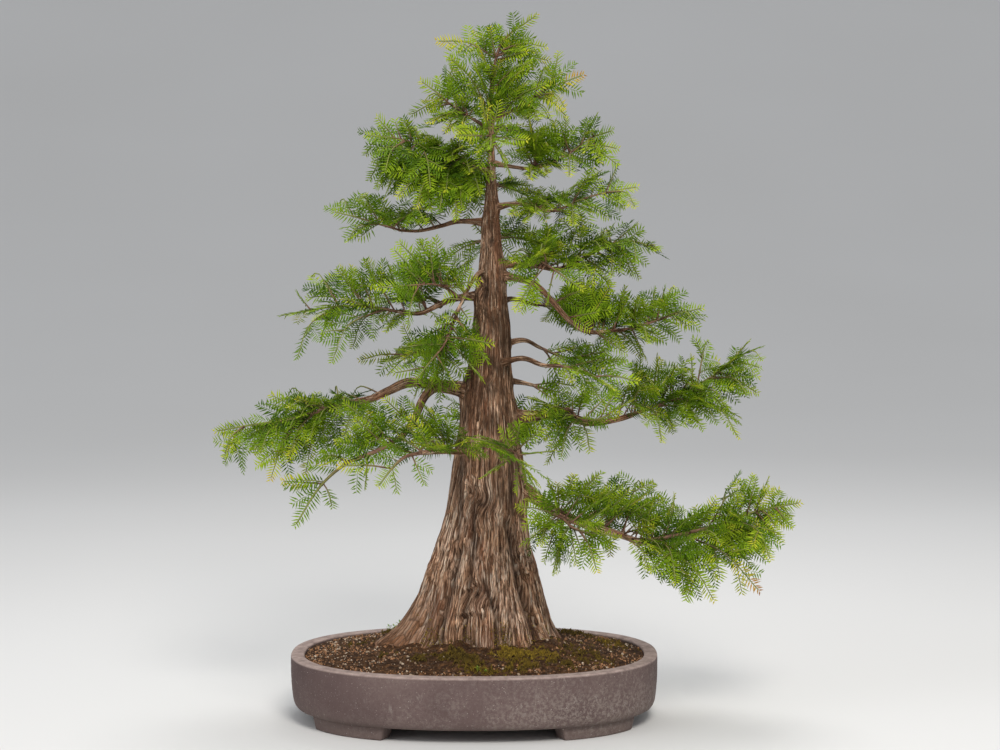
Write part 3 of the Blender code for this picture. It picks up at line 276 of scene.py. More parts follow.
# Sprays: the points that each stem passes beyond its limb's end, then where it and its twigs end
SPRAYS = in_metres({
    "leader": (((-13, 0, 835), (-2, 0, 856)),
        ((35, 0, 882.5), (-21, -20, 864), (46, -26, 843), (18, 38, 848), (-43, 30, 862), (-85, -10, 851))),
    "right_low": (((205, -24, 232), (258, -14, 243), (310, -4, 260)),
        ((366, -20, 274), (331, 12, 300), (362, 30, 250), (322, -98, 215), (311, -70, 172),
         (254, -86, 163), (290, 80, 270), (205, -118, 190), (212, 4, 280), (250, 92, 214))),
    "right_low_front": (((74, -92, 258), (88, -114, 252)),
        ((134, -150, 250), (13, -122, 283), (18, -118, 236), (56, -112, 200), (108, -128, 206),
         (108, -68, 312))),
    "right_low_back": (((136, 66, 250), (150, 88, 245)),
        ((184, 112, 240), (134, 74, 196), (72, 84, 250), (118, 138, 262))),
    "right_mid": (((200, 22, 398), (246, 18, 422), (280, 12, 446)),
        ((304, 10, 475), (316, -38, 456), (323, 50, 440), (314, 0, 412), (285, -62, 362),
         (260, 72, 470), (190, -74, 358), (216, 86, 354))),
    "right_mid_front": (((90, -72, 384), (102, -86, 384)),
        ((134, -104, 394), (100, -108, 350), (66, -98, 341), (50, -60, 330), (126, -54, 414))),
    "right_twig": (((92, 74, 450), (112, 88, 450)),
        ((152, 112, 442), (130, 70, 470), (96, 132, 450), (106, 66, 408))),
    "right_curved": (((172, 0, 497), (204, 0, 508)),
        ((244, 2, 518), (213, 42, 541), (230, -58, 502), (210, 66, 482), (172, -82, 480),
         (174, -18, 455), (164, -54, 531))),
    "right_high": (((146, 24, 602), (164, 12, 601)),
        ((189, 0, 592), (164, 46, 622), (168, 52, 556), (158, -60, 578), (124, 84, 610))),
    "right_high_front": (((52, -66, 572), (64, -78, 564)),
        ((90, -92, 546), (48, -90, 530), (10, -86, 522), (40, -122, 592))),
    "right_top": (((98, -4, 656), (128, 0, 664)),
        ((161, 0, 670), (140, 28, 698), (157, -48, 646), (80, -78, 624), (100, 78, 664), (104, -44, 690))),
    "right_crown": (((90, 8, 720), (106, -6, 732)),
        ((129, -38, 739), (112, 22, 760), (138, 30, 719), (136, -10, 699), (76, -60, 684), (72, 72, 724))),
    "left_low": (((-232, -4, 390), (-276, 0, 377), (-326, 2, 370)),
        ((-366, 0, 363), (-352, -40, 337), (-362, 48, 318), (-326, 100, 326), (-294, -48, 309),
         (-262, 92, 300), (-284, 72, 400), (-222, 70, 404))),
    "left_fork": (((-160, -102, 348), (-196, -114, 334), (-228, -122, 306)),
        ((-256, -128, 262), (-212, -142, 286), (-272, -110, 312), (-172, -124, 308), (-220, -162, 338),
         (-172, -70, 372))),
    "left_front": (((-122, -168, 348), (-136, -200, 338)),
        ((-150, -236, 322), (-100, -176, 318), (-78, -188, 364), (-196, -214, 342))),
    "front_low": (((10, -170, 348), (14, -206, 346)),
        ((24, -258, 348), (-44, -180, 372), (-30, -206, 328), (10, -208, 312), (54, -176, 356))),
    "left_mid": (((-170, -6, 520), (-208, -4, 521), (-246, 0, 516)),
        ((-284, 2, 509), (-264, 12, 535), (-250, 48, 556), (-258, -70, 461), (-214, -90, 458),
         (-198, 42, 561), (-198, 62, 466))),
    "left_mid_front": (((-96, -80, 551), (-122, -94, 550)),
        ((-156, -108, 548), (-138, -70, 592), (-94, -86, 600), (-120, -122, 506))),
    "left_mid_back": (((-112, 78, 524), (-114, 108, 516)),
        ((-112, 148, 504), (-80, 94, 580), (-168, 112, 520), (-148, 76, 566))),
    "left_hanging": (((-78, -90, 476), (-92, -108, 460)),
        ((-110, -126, 438), (-134, -82, 472), (-136, -104, 444), (-62, -128, 430), (-30, -112, 436),
         (-20, -108, 480))),
    "left_upper": (((-162, 0, 624), (-188, 0, 632)),
        ((-216, 2, 639), (-213, 44, 650), (-183, -48, 654), (-196, -42, 604), (-150, 66, 620),
         (-100, -80, 626))),
    "left_high": (((-122, 0, 727), (-146, -4, 732)),
        ((-174, -12, 734), (-162, 14, 756), (-178, 34, 712), (-150, -56, 690), (-120, 70, 736),
         (-94, -70, 668), (-130, 20, 672))),
    "crown_left": (((-72, -5, 774), (-88, -4, 788)),
        ((-106, 2, 801), (-119, 20, 762), (-101, -48, 776), (-72, 58, 790), (-66, 10, 824))),
    "crown_right": (((42, 0, 788), (64, 0, 798)),
        ((93, 0, 809), (64, 28, 838), (70, -48, 768), (50, -46, 814), (60, 62, 786))),
    "crown_front": (((-20, -70, 732), (-20, -94, 728)),
        ((-20, -126, 716), (-60, -92, 732), (22, -98, 726), (-33, -86, 774), (4, -106, 684))),
    "crown_back": (((-11, 76, 746), (-10, 102, 750)),
        ((-10, 134, 752), (-50, 104, 744), (32, 108, 742), (-12, 80, 803))),
    "back_low": (((-12, 180, 354), (-4, 220, 350)),
        ((0, 260, 346), (48, 232, 332), (-54, 238, 336), (62, 182, 360), (-76, 184, 366))),
    "back_left": (((-112, 124, 454), (-138, 158, 448)),
        ((-166, 194, 440), (-192, 140, 444), (-116, 202, 456), (-136, 150, 486))),
    "back_right": (((62, 112, 515), (86, 146, 509)),
        ((108, 182, 500), (132, 142, 504), (58, 186, 514), (98, 118, 546))),
    "back_high": (((-22, 118, 601), (-20, 148, 599)),
        ((-20, 182, 594), (-70, 152, 592), (34, 152, 600), (-50, 112, 630))),
    "back_top": (((-19, 92, 672), (-20, 120, 670)),
        ((-20, 152, 666), (-66, 122, 664), (30, 126, 672), (-40, 92, 700))),
    "front_right": (((86, -144, 450), (104, -180, 444)),
        ((122, -220, 434), (152, -180, 440), (80, -208, 450), (140, -128, 462))),
})
# Shoots between the twigs, which the solids leave out: where their tips stand
FILL_SHOOTS = in_metres({
    "leader": (
        (6, -30, 826), (31, 30, 822), (48, -30, 797), (21, -40, 796), (-49, 30, 825), (-4, -10, 852),
        (16, 20, 844), (-46, -40, 796), (-69, -20, 829), (-34, -30, 841), (-22, 20, 836),
        (-9, -30, 824), (-39, -40, 818), (38, -20, 837), (51, 20, 829), (22, -20, 837), (13, -30, 829),
        (28, -30, 824), (18, -30, 814), (41, 20, 804)),
    "crown_right": (
        (16, -40, 774), (48, 30, 775), (68, -20, 782), (38, -50, 754), (74, 30, 760), (28, -30, 757),
        (53, -40, 757)),
    "crown_left": (
        (-68, -30, 762), (-85, 30, 752), (-56, -50, 740), (-37, 20, 772), (-96, -20, 768),
        (-76, -40, 740), (-92, 20, 757), (-96, -30, 750), (-83, -40, 740), (-59, -30, 780),
        (-69, 20, 774)),
    "right_crown": (
        (38, -30, 740), (61, 20, 744), (50, -50, 720), (83, 50, 740), (97, -40, 715), (74, 20, 754),
        (16, -40, 715), (103, -20, 738), (115, -30, 703), (28, -40, 750), (46, -40, 742),
        (59, -30, 750), (38, -50, 732), (65, -40, 696), (50, -40, 688), (28, -50, 681)),
    "left_high": (
        (-68, -50, 703), (-46, -60, 688), (-34, -60, 663), (-75, -60, 666), (-56, -60, 644),
        (-90, 50, 689), (-103, -50, 654), (-134, -60, 659), (-162, -40, 671), (-124, 50, 679),
        (-29, 40, 636), (-173, 20, 681), (-150, -40, 662), (-112, -60, 646), (-83, -60, 641),
        (-63, -60, 632), (-70, -50, 725), (-58, -50, 718), (-102, -40, 728), (-90, 30, 719),
        (-140, 0, 751), (-127, -20, 750), (-120, 20, 744), (-108, -30, 734), (-93, -30, 728)),
    "left_upper": (
        (-181, 30, 659), (-157, -50, 639), (-136, 40, 636), (-108, -50, 629)),
    "right_top": (
        (16, -50, 651), (35, -50, 639), (57, 40, 654), (73, -30, 659), (6, -50, 636), (25, -50, 629),
        (48, -30, 631), (102, -40, 647), (125, 30, 666), (96, -50, 627), (43, -50, 654), (55, -40, 644)),
    "right_high": (
        (28, -40, 609), (50, -50, 619), (67, -60, 600), (95, -50, 619), (117, -50, 592),
        (102, -60, 565), (127, -40, 550), (86, 50, 583), (124, 50, 613), (143, 30, 575), (6, -60, 580),
        (26, -50, 572), (130, -30, 579), (145, 20, 593), (123, -30, 602), (140, -40, 567),
        (158, 20, 563), (130, -40, 561), (1, -60, 590), (11, -60, 570), (179, 0, 600), (186, -20, 592)),
    "right_curved": (
        (150, -30, 534), (172, -40, 522), (134, 40, 522), (110, -50, 515), (194, 30, 527),
        (98, -40, 545), (118, 30, 532), (140, -40, 476), (167, 30, 466), (180, -40, 480),
        (146, -40, 465), (169, 30, 457), (117, 20, 540), (130, -30, 549), (106, -20, 549),
        (148, 0, 543), (188, 30, 540), (198, 0, 543)),
    "left_mid": (
        (-210, -30, 567), (-177, -40, 577), (-151, 30, 573), (-123, -50, 568), (-238, 40, 547),
        (-127, -60, 543), (-222, -20, 498), (-235, 20, 483), (-159, -20, 504), (-149, -50, 493)),
    "left_hanging": (
        (-63, -60, 555), (-51, -60, 533), (-73, -80, 509), (-56, -80, 490), (-82, -90, 483),
        (-71, -50, 565), (-56, -50, 548), (-46, -40, 562), (-75, -60, 533), (-64, -70, 516),
        (-49, -60, 509), (-83, -80, 502), (-96, -50, 515), (-83, -70, 482), (-107, -70, 470),
        (-68, -80, 476), (-48, -80, 470), (-34, -80, 476), (-126, -60, 459), (-118, -50, 473),
        (-70, -70, 500), (-24, -80, 456), (-117, 20, 407), (-96, -40, 415), (-84, -40, 406),
        (-64, -70, 507), (-70, -80, 492), (-56, -60, 496)),
    "left_low": (
        (-221, -30, 402), (-252, 40, 394), (-199, 50, 403), (-270, -40, 396), (-257, -50, 386),
        (-235, -50, 378), (-213, -60, 385), (-200, -70, 367), (-245, -50, 359), (-271, -40, 370),
        (-233, 40, 389), (-306, -40, 343), (-289, -40, 330), (-270, -50, 337)),
    "left_fork": (
        (-197, -100, 406), (-172, -100, 401), (-149, -80, 409), (-131, -100, 396), (-160, -110, 380),
        (-183, -120, 388)),
    "left_front": (
        (-114, -110, 404), (-92, -110, 397), (-75, -100, 384), (-106, -130, 377), (-129, -140, 370),
        (-62, -110, 367), (-84, -140, 363), (-148, -150, 362), (-135, -120, 385), (-118, -110, 389),
        (-70, -120, 378), (-51, -130, 362), (-35, -140, 356), (-81, -140, 351), (-205, -90, 360),
        (-102, -100, 406), (-121, -100, 408)),
    "front_low": (
        (-33, -160, 372), (-9, -180, 381), (15, -160, 387), (39, -160, 379)),
    "right_mid_front": (
        (48, -60, 390), (67, -80, 384), (133, -80, 419), (153, -80, 409), (112, -70, 403),
        (80, -60, 410), (55, -80, 354), (48, -70, 363)),
    "right_twig": (
        (67, 30, 423), (91, 40, 440), (105, 30, 469), (124, 50, 460), (73, 20, 432), (81, -20, 429)),
    "right_mid": (
        (165, -40, 440), (191, -30, 455), (214, -50, 441), (184, -60, 422), (235, 30, 453),
        (206, 50, 424), (149, 40, 419), (239, -50, 424), (170, 40, 455), (285, -30, 442),
        (298, -30, 413), (272, -40, 396), (309, 30, 428), (259, -50, 379), (242, -50, 371),
        (41, -40, 378), (61, -30, 395), (98, -30, 413), (23, -40, 383)),
    "right_low_front": (
        (50, -100, 312), (81, -100, 317), (114, -90, 319), (146, -80, 307), (121, -100, 278),
        (40, -110, 235), (66, -120, 236), (91, -110, 225), (26, -60, 283), (28, -70, 259),
        (34, -80, 242), (46, -90, 212), (60, -100, 201), (84, -110, 212), (113, -110, 218),
        (126, -100, 231), (141, -40, 295), (61, -100, 307)),
    "right_low": (
        (173, -50, 289), (178, -80, 253), (163, -90, 212), (193, -80, 216), (228, -40, 293),
        (262, 30, 289), (312, -20, 303), (217, 50, 259), (284, -60, 285), (175, -90, 200),
        (191, -80, 191), (292, -30, 256), (318, -20, 268), (336, -30, 244), (310, -40, 226),
        (284, -50, 215), (354, 20, 256), (325, -20, 211), (264, -60, 229), (226, -80, 188),
        (244, -90, 184), (356, -20, 246), (343, -20, 227), (321, -50, 206), (303, -50, 200),
        (181, -30, 271), (195, 20, 257), (152, -20, 288), (163, -10, 277)),
    "crown_front": (
        (-46, -70, 727), (-21, -80, 714), (-2, -80, 705), (-63, -60, 742), (11, -70, 722),
        (-33, -80, 697), (-21, -50, 760), (-36, -80, 714), (-11, -40, 772)),
    "left_mid_front": (
        (-132, -50, 600), (-108, -50, 602), (-88, -50, 605), (-64, -60, 578), (-48, -60, 568),
        (-41, -50, 582), (-75, -60, 553), (-56, -60, 546), (-36, -60, 555), (-98, 30, 568)),
    "right_high_front": (
        (13, -70, 531), (18, -70, 519)),
})
# Where the shoots on the short bare limb stand
STUB_SHOOTS = in_metres(((75, 30, 407), (64, 10, 399), (86, 50, 416), (59, 40, 409)))
# Gaps among the pads as the front shows them: x, z, half width, half height
GAPS = in_metres((
    (-35, 781, 13, 9), (11, 824, 8, 8), (40, 812, 10, 10), (47, 768, 14, 8), (-85, 739, 8, 6),
    (11, 773, 10, 6), (10, 756, 10, 6), (-10, 848, 6, 6), (-51, 821, 9, 8), (61, 788, 8, 6),
    (6, 661, 11, 6), (153, 242, 21, 18), (148, 199, 13, 28), (97, 233, 11, 6), (48, 438, 25, 8),
    (150, 433, 10, 13), (108, 395, 8, 8), (-105, 518, 28, 11), (-140, 478, 8, 13), (-76, 612, 38, 6),
    (-113, 296, 20, 13), (-175, 427, 15, 11), (231, 301, 45, 14), (-75, 863, 11, 9), (-159, 766, 11, 8),
    (48, 556, 29, 21), (14, 596, 19, 14), (208, 354, 43, 13), (-5, 308, 24, 19), (72, 321, 43, 13),
    (-171, 273, 30, 15), (-233, 259, 14, 21), (-350, 388, 28, 14), (-273, 486, 10, 15),
    (-179, 455, 30, 11), (48, 869, 10, 15), (-63, 876, 11, 10), (160, 690, 11, 9), (-34, 803, 9, 6),
    (249, 465, 18, 11), (169, 591, 8, 8), (-185, 599, 11, 9), (99, 234, 11, 8), (117, 352, 15, 9),
    (-138, 303, 23, 14), (56, 463, 24, 10), (115, 362, 20, 10), (81, 778, 15, 13), (286, 172, 15, 13),
    (-119, 607, 15, 6), (14, 541, 10, 18), (-211, 285, 18, 11), (76, 687, 15, 10), (-242, 422, 69, 10),
    (198, 158, 25, 10), (-247, 291, 13, 18), (151, 199, 15, 28), (-369, 377, 10, 13),
    (-260, 569, 13, 9), (262, 359, 15, 10), (-55, 604, 18, 19), (5, 611, 14, 11), (-165, 468, 19, 16),
    (-146, 308, 43, 19), (79, 327, 33, 13), (264, 287, 19, 11), (165, 217, 10, 25), (-250, 561, 23, 8),
    (-104, 781, 13, 10), (29, 472, 20, 13),
))
# Pads whose front shoots have a like one behind
TWINNED = ("leader", "crown_right", "crown_left", "right_crown", "left_high", "left_upper", "right_top",
           "right_high", "right_curved", "left_mid", "left_low", "right_mid", "right_low")
# Pads behind the trunk, with more shoots on alternate sides of the limb's outer part
BACK_PADS = ("back_low", "back_left", "back_right", "back_high", "back_top", "crown_back")
BACK_SHARE = 0.58
BACK_BARE_TIP = 0.025
BACK_STEP = 0.0125
BACK_LENGTH = (0.040, 0.075)  # near the limb's tip and further in
BACK_LUCK = (0.8, 1.15)
BACK_SPREAD = (math.radians(48), math.radians(75))
BACK_RISE = 0.028
STEP_LUCK = (0.8, 1.2)
STEM_RADIUS_SHARE = 0.9
STEM_TIP_RADIUS = 0.0009
# A long twig arches up and sweeps along what it leaves, in shares of its length
TWIG_ARCH = 0.07
TWIG_SWEEP = 0.05
LONG_TWIG = 0.050
# A twig that grows mostly forwards or backwards hooks over at its end, and its spray hangs face outwards
FRONTWARD = 0.62
HOOK_PLACE = 0.70
HOOK_RISE = 0.20
TURNED_AWAY = (0.25, 0.60)  # how far such a spray turns from the front, and from level
# The part along which twigs may leave a pad's stem, its limb with the stem, and the short bare limb
STEM_REACH = (0.12, 0.94)
FILL_REACH = (0.30, 0.96)
STUB_REACH = (0.72, 0.98)
BACK_OFF = 0.55  # how far below the nearest point a twig leaves, as a share of the distance
LEADER_BACK_OFF = 1.10  # the leader's shoots rise more steeply

LIMB_SIDES = 14
LIMB_STEP = 0.0028
COLLAR_SHARE = 0.60  # how much thicker a limb is where it leaves the wood
COLLAR_FALL = 0.010
LIMB_FURROW = 0.30
LIMB_GNARL = 0.13  # how far knobs and ribs change a limb's radius
KNOBS = (0.8, 55)  # turns round a limb, changes a metre along it
RIBS = (2.6, 30)
RIB_SIZE = 1.4  # in the knobs' size
RIB_SUNK = 0.4
TWIG_STEP = 0.008
TWIG_RADIUS = 0.0012
TWIG_TIP_RADIUS = 0.0007
# How many sides a way has, and how young its bark is at its foot
STEM_MAKE = (6, 0.10)
TWIG_MAKE = (4, 0.35)
SHOOT_MAKE = (3, 0.60)
MAP_MARGIN = 0.02  # round each tube's cell of the map

# Side shoots along the stems and twigs
SHOOT_STEP = 0.0185
SHOOT_STEP_LUCK = (0.75, 1.25)
SHOOT_LENGTH = 0.046
SHOOT_OF_WAY = 0.42  # the longest side shoot, as a share of what it stands on
SHOOT_TIP_SHARE = 0.25  # how long the shoots are at the tip, and how far back they gain a full length
SHOOT_GROWN = 0.110
SHOOT_LUCK = (0.70, 1.20)
SHOOT_LEAST = 0.012
SHOOT_BARE = (0.010, 0.042)  # no side shoot stands nearer to the foot and to the tip
SHOOT_DROP = 0.12  # shares of the shoot's length
SHOOT_ARCH = 0.05
SHOOT_SPREAD = (math.radians(38), math.radians(60))
SHOOT_RADII = (0.0008, 0.0006)
# Each twig carries its shoots and branchlets in one flat spray, which lies nearly level or stands steep
LEVEL_STRAY = 0.05
LEVEL_ROLL = math.radians(16)
STEEP_SHARE = 0.72
STEEP_ROLL = (math.radians(42), math.radians(90))
SHOOT_ROLL = math.radians(16)
# Branchlets, each with two rows of needles
SPRIG_STEP = 0.0110
SPRIG_LENGTH = 0.046
TERMINAL_LENGTH = 0.052
TERMINAL_SHARE = 0.7  # the most of its way that the end branchlet takes, and how far it passes the tip
TERMINAL_OVER = 0.003
SPRIG_TIP_SHARE = 0.30  # how long the branchlets are at the tip, and how far back they have full length
SPRIG_GROWN = 0.065
SPRIG_LUCK = (0.75, 1.12)
SPRIG_SPREAD = (math.radians(38), math.radians(60))
SPRIG_ROLL = math.radians(11)
SPRIG_DROOP = 0.10
SPRIG_SWEEP = 0.14
YOUNG_REACH = 0.08  # how far from the tip a branchlet is young on a short way
BARE_TIP = 0.033  # no branchlet stands nearer to a shoot's tip
BARE_FOOT = 0.006  # nor nearer to its foot, nor in this share of a pad's stem
STEM_BARE = 0.10
TRUNK_CLEAR = 0.006
FAR_OFF = 0.03  # beyond the trunk's half width by this much, a point counts as clear of it
GAP_SHARES = (0.6, 0.95)  # where along a branchlet a gap leaves it out
NEEDLE_STEP = 0.0036
FEWEST_PAIRS = 4
PAIR_PLACE = 0.6  # where a pair stands in its step, and how far each of its needles is off that place
PAIR_STAGGER = 0.25
NEEDLE_ENDS = (0.02, 0.99)  # needles stand between these shares of the axis
NEEDLE_LENGTH = 0.0135
NEEDLE_LUCK = (0.88, 1.08)
NEEDLE_WIDTH = 0.0023
NEEDLE_THICK = 0.0009
NEEDLE_WIDEST = 0.34  # share of its length
NEEDLE_LEAN = (math.radians(72), math.radians(46))  # from the axis, at the branchlet's foot and tip
LEAN_STRAY = 0.10
NEEDLE_LIFT = (0.05, 0.13)  # off the spray's plane: mean and stray
# Shares of the needles' length: on the shortest branchlets, at an axis's foot and at its tip, and how fast
# each grows: with the branchlet's length in metres, and along the axis from either end
SHORT_SHARE = (0.62, 0.060)
FOOT_SHARE = (0.50, 3.0)
TIP_SHARE = (0.42, 1.9)
TURN_POWER = 1.5  # above 1, lean and tint change late along the axis
AXIS_WIDTH = 0.0010
AXIS_PARTS = 2
AXIS_BACK = 0.12  # each part starts before its joint and runs over the next, in shares of it
AXIS_OVER = 1.3
AXIS_PROBE = 0.02
# Tints run from 0, deep green, over 0.8, yellow, and 0.9, orange, to 1, brown
BASE_TINT = 0.20
# A branchlet's tint rises with its youth: young tips are lighter, and the darker inner ones are partly
# painted shade
YOUTH_AND_SHADE_TINT = 0.32
TINT_LIMITS = (0.03, 0.68)
SPRIG_TINT_STRAY = 0.10
NEEDLE_TINT_STRAY = 0.03
TIP_TINT = (0.08, 0.14, 0.75)  # how much more at a branchlet's tip, for a young one besides, and the most
AXIS_TINT = (0.16, 0.82)  # how much more on the axis, and the most
YELLOW_SHARE = 0.030
YELLOW_FOOT = 0.10
YELLOW_TIP = (0.72, 0.80)
# How much further towards yellow the pads are whose names start so
PAD_TINTS = (("left", -0.030), ("right", 0.028), ("crown", 0.034), ("leader", 0.034))
# The last tint of a pad's listed tips, where it isn't green, on branchlets at least so young
TURNED_YOUNG = 0.75
TURNED_TIPS = {
    ("leader", 4): 0.80, ("leader", 5): 0.88, ("crown_right", 0): 0.92, ("crown_right", 2): 0.86,
    ("right_low", 4): 0.99, ("right_low", 5): 0.80, ("left_front", 3): 0.80, ("left_low", 4): 0.84,
    ("left_low", 5): 0.82, ("left_fork", 2): 0.86,
}

# Loose grit: count, least and most radius, share of tries kept, then what is added to that towards the left
# and with what power of it, on the right and beyond what x, and at the rim
GRIT = {
    "grit_dark": (2100, (0.0008, 0.0021), 0.9, (0.0, 1), (0.0, 0.0), 0.0),
    "grit_rust": (1350, (0.0007, 0.0019), 0.14, (0.80, 2), (0.26, 0.05), 0.50),
    "grit_pale": (420, (0.0007, 0.0021), 0.22, (0.55, 1), (0.20, 0.04), 0.30),
}
GRIT_INSET = 0.0015  # from the bed's edge
GRIT_OFF_ROOTS = 0.001
GRIT_RISE = 0.0002
LEFT_FROM = -0.07
LEFT_WIDTH = 0.13
RIM_FROM = 0.76  # share of the way from the middle of the bed
CLUMPS = (0.75, 1.3, 34)  # mean share that stays, its variation, changes a metre
GRIT_IN_MOSS = (0.1, 0.25)  # the moss that still shows grit, and how much more by chance
GRAIN_STRETCH = (0.7, 1.3)
GRAIN_BROKEN = (0.55, 1.7)  # how far a grain strays from round, and changes over its radius
MOSS_TUFTS = 10500
TUFT_SPREAD = 0.75  # in a patch's half sizes
TUFT_INSET = 0.019
TUFT_UNDER_ROOTS = 0.004
LEAST_COVER = 0.02
COVER_GROWS = 1.8
CUSHIONS = 210  # changes a metre
CUSHION_RISE = (0.30, 0.9)
CUSHION_TINT = (0.25, 0.95)
TUFT_SUNK = 0.0014
MOSS_TINT = (0.10, 0.75, 0.09)  # the least, what yellow adds, stray
TRUNK_TUFTS = 900
TUFT_FOOT = 0.003  # below the soil line, from where moss climbs about this high
TUFT_CLIMB = 0.014
TUFT_IN_BARK = 0.0008
TUFT_RISE = 0.6
TRUNK_TUFT_TINT = (0.35, 0.95)
TUFT_LEAN = 0.42
# Where moss climbs the roots: bearing and spread in degrees
TUFT_BEARINGS = ((295, 11), (295, 11), (295, 11), (253, 6), (222, 8), (340, 10), (95, 40))
TUFT_HEIGHT = (0.0014, 0.0036)
TUFT_WIDTH = (0.0009, 0.0017)


def deselect():
    bpy.ops.object.select_all(action="DESELECT")


def choose(piece):
    deselect()
    piece.select_set(True)
    bpy.context.view_layer.objects.active = piece


def start_edit():
    bpy.ops.object.mode_set(mode="EDIT")
    bpy.ops.mesh.select_all(action="SELECT")


def end_edit():
    bpy.ops.mesh.select_all(action="SELECT")
    bpy.ops.mesh.normals_make_consistent(inside=False)
    bpy.ops.object.mode_set(mode="OBJECT")


def share_of(value):
    """The value, kept between 0 and 1."""
    return min(max(value, 0.0), 1.0)


def own_piece(name, points, faces):
    mesh = bpy.data.meshes.new(name)
    mesh.from_pydata(points, [], faces)
    piece = bpy.data.objects.new(name, mesh)
    bpy.context.scene.collection.objects.link(piece)
    return piece


def dress(piece, material, slot, *nodes):
    """Gives a piece its finish, and hides the nodes that it stands for. The slot is not used."""
    piece.data.materials.clear()
    piece.data.materials.append(material)
    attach(piece, "root")
    if nodes:
        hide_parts(*nodes)


def write_values(piece, name, values, kind="FLOAT"):
    layer = piece.data.attributes.new(name, kind, "POINT")
    layer.data.foreach_set("value" if kind == "FLOAT" else "vector", np.asarray(values, np.float32).ravel())


def write_map(piece, places):
    """The piece's own map, from one place a face corner."""
    layer = piece.data.uv_layers.new(name="OFBake")
    layer.data.foreach_set("uv", np.asarray(places, np.float32).ravel())


def smooth(piece, angle):
    choose(piece)
    bpy.ops.object.shade_smooth_by_angle(angle=math.radians(angle))


def apply_modifiers(piece):
    choose(piece)
    for modifier in list(piece.modifiers):
        bpy.ops.object.modifier_apply(modifier=modifier.name)


class Finish:
    """A material that is being made, with short calls for the nodes it needs."""

    def __init__(self, name, roughness, specular=0.5):
        self.material = bpy.data.materials.new(name)
        self.material.use_nodes = True
        self.tree = self.material.node_tree
        self.shader = self.tree.nodes["Principled BSDF"]
        self.shader.inputs["Roughness"].default_value = roughness
        self.shader.inputs["Specular IOR Level"].default_value = specular

    def add(self, kind, inputs=(), **settings):
        node = self.tree.nodes.new("ShaderNode" + kind)
        for key, value in settings.items():
            setattr(node, key, value)
        for key, value in dict(inputs).items():
            if isinstance(value, bpy.types.NodeSocket):
                self.tree.links.new(value, node.inputs[key])
            else:
                node.inputs[key].default_value = value
        return node

    def places(self):
        return self.add("TexCoord").outputs["Object"]

    def value(self, name):
        return self.add("Attribute", attribute_name=name)

    def stretched(self, vector, scale):
        return self.add("Mapping", {"Vector": vector, "Scale": scale}).outputs["Vector"]

    def noise(self, vector, scale, detail=4.0, roughness=0.55, distortion=0.0):
        return self.add("TexNoise", {"Vector": vector, "Scale": scale, "Detail": detail,
                                     "Roughness": roughness, "Distortion": distortion}).outputs["Fac"]

    def ramp(self, factor, *stops):
        node = self.add("ValToRGB", {"Fac": factor})
        ramp = node.color_ramp
        while len(ramp.elements) < len(stops):
            ramp.elements.new(0.5)
        for element, (place, colour) in zip(ramp.elements, stops):
            element.position = place
            element.color = (*colour, 1.0) if isinstance(colour, tuple) else (colour, colour, colour, 1.0)
        return node.outputs["Color"]

    def maths(self, operation, *values):
        node = self.add("Math", operation=operation)
        for socket, value in zip(node.inputs, values):
            if isinstance(value, bpy.types.NodeSocket):
                self.tree.links.new(value, socket)
            else:
                socket.default_value = value
        return node.outputs[0]

    def product(self, first, second):
        return self.maths("MULTIPLY", first, second)

    def vectors(self, operation, first, second):
        return self.add("VectorMath", {0: first, 1: second}, operation=operation).outputs["Vector"]

    def mixed(self, factor, first, second):
        """A mix of two colours, which the node takes at its sockets 6 and 7 and gives at 2."""
        node = self.add("Mix", data_type="RGBA")
        for index, value in ((0, factor), (6, first), (7, second)):
            if isinstance(value, bpy.types.NodeSocket):
                self.tree.links.new(value, node.inputs[index])
            elif index:
                node.inputs[index].default_value = (*value, 1.0)
            else:
                node.inputs[index].default_value = value
        return node.outputs[2]

    def bump(self, height, distance, strength=1.0, below=None):
        inputs = {"Height": height, "Distance": distance, "Strength": strength}
        if below is not None:
            inputs["Normal"] = below
        return self.add("Bump", inputs).outputs["Normal"]

    def done(self, colour, normal=None):
        self.tree.links.new(colour, self.shader.inputs["Base Color"])
        if normal is not None:
            self.tree.links.new(normal, self.shader.inputs["Normal"])
        return self.material


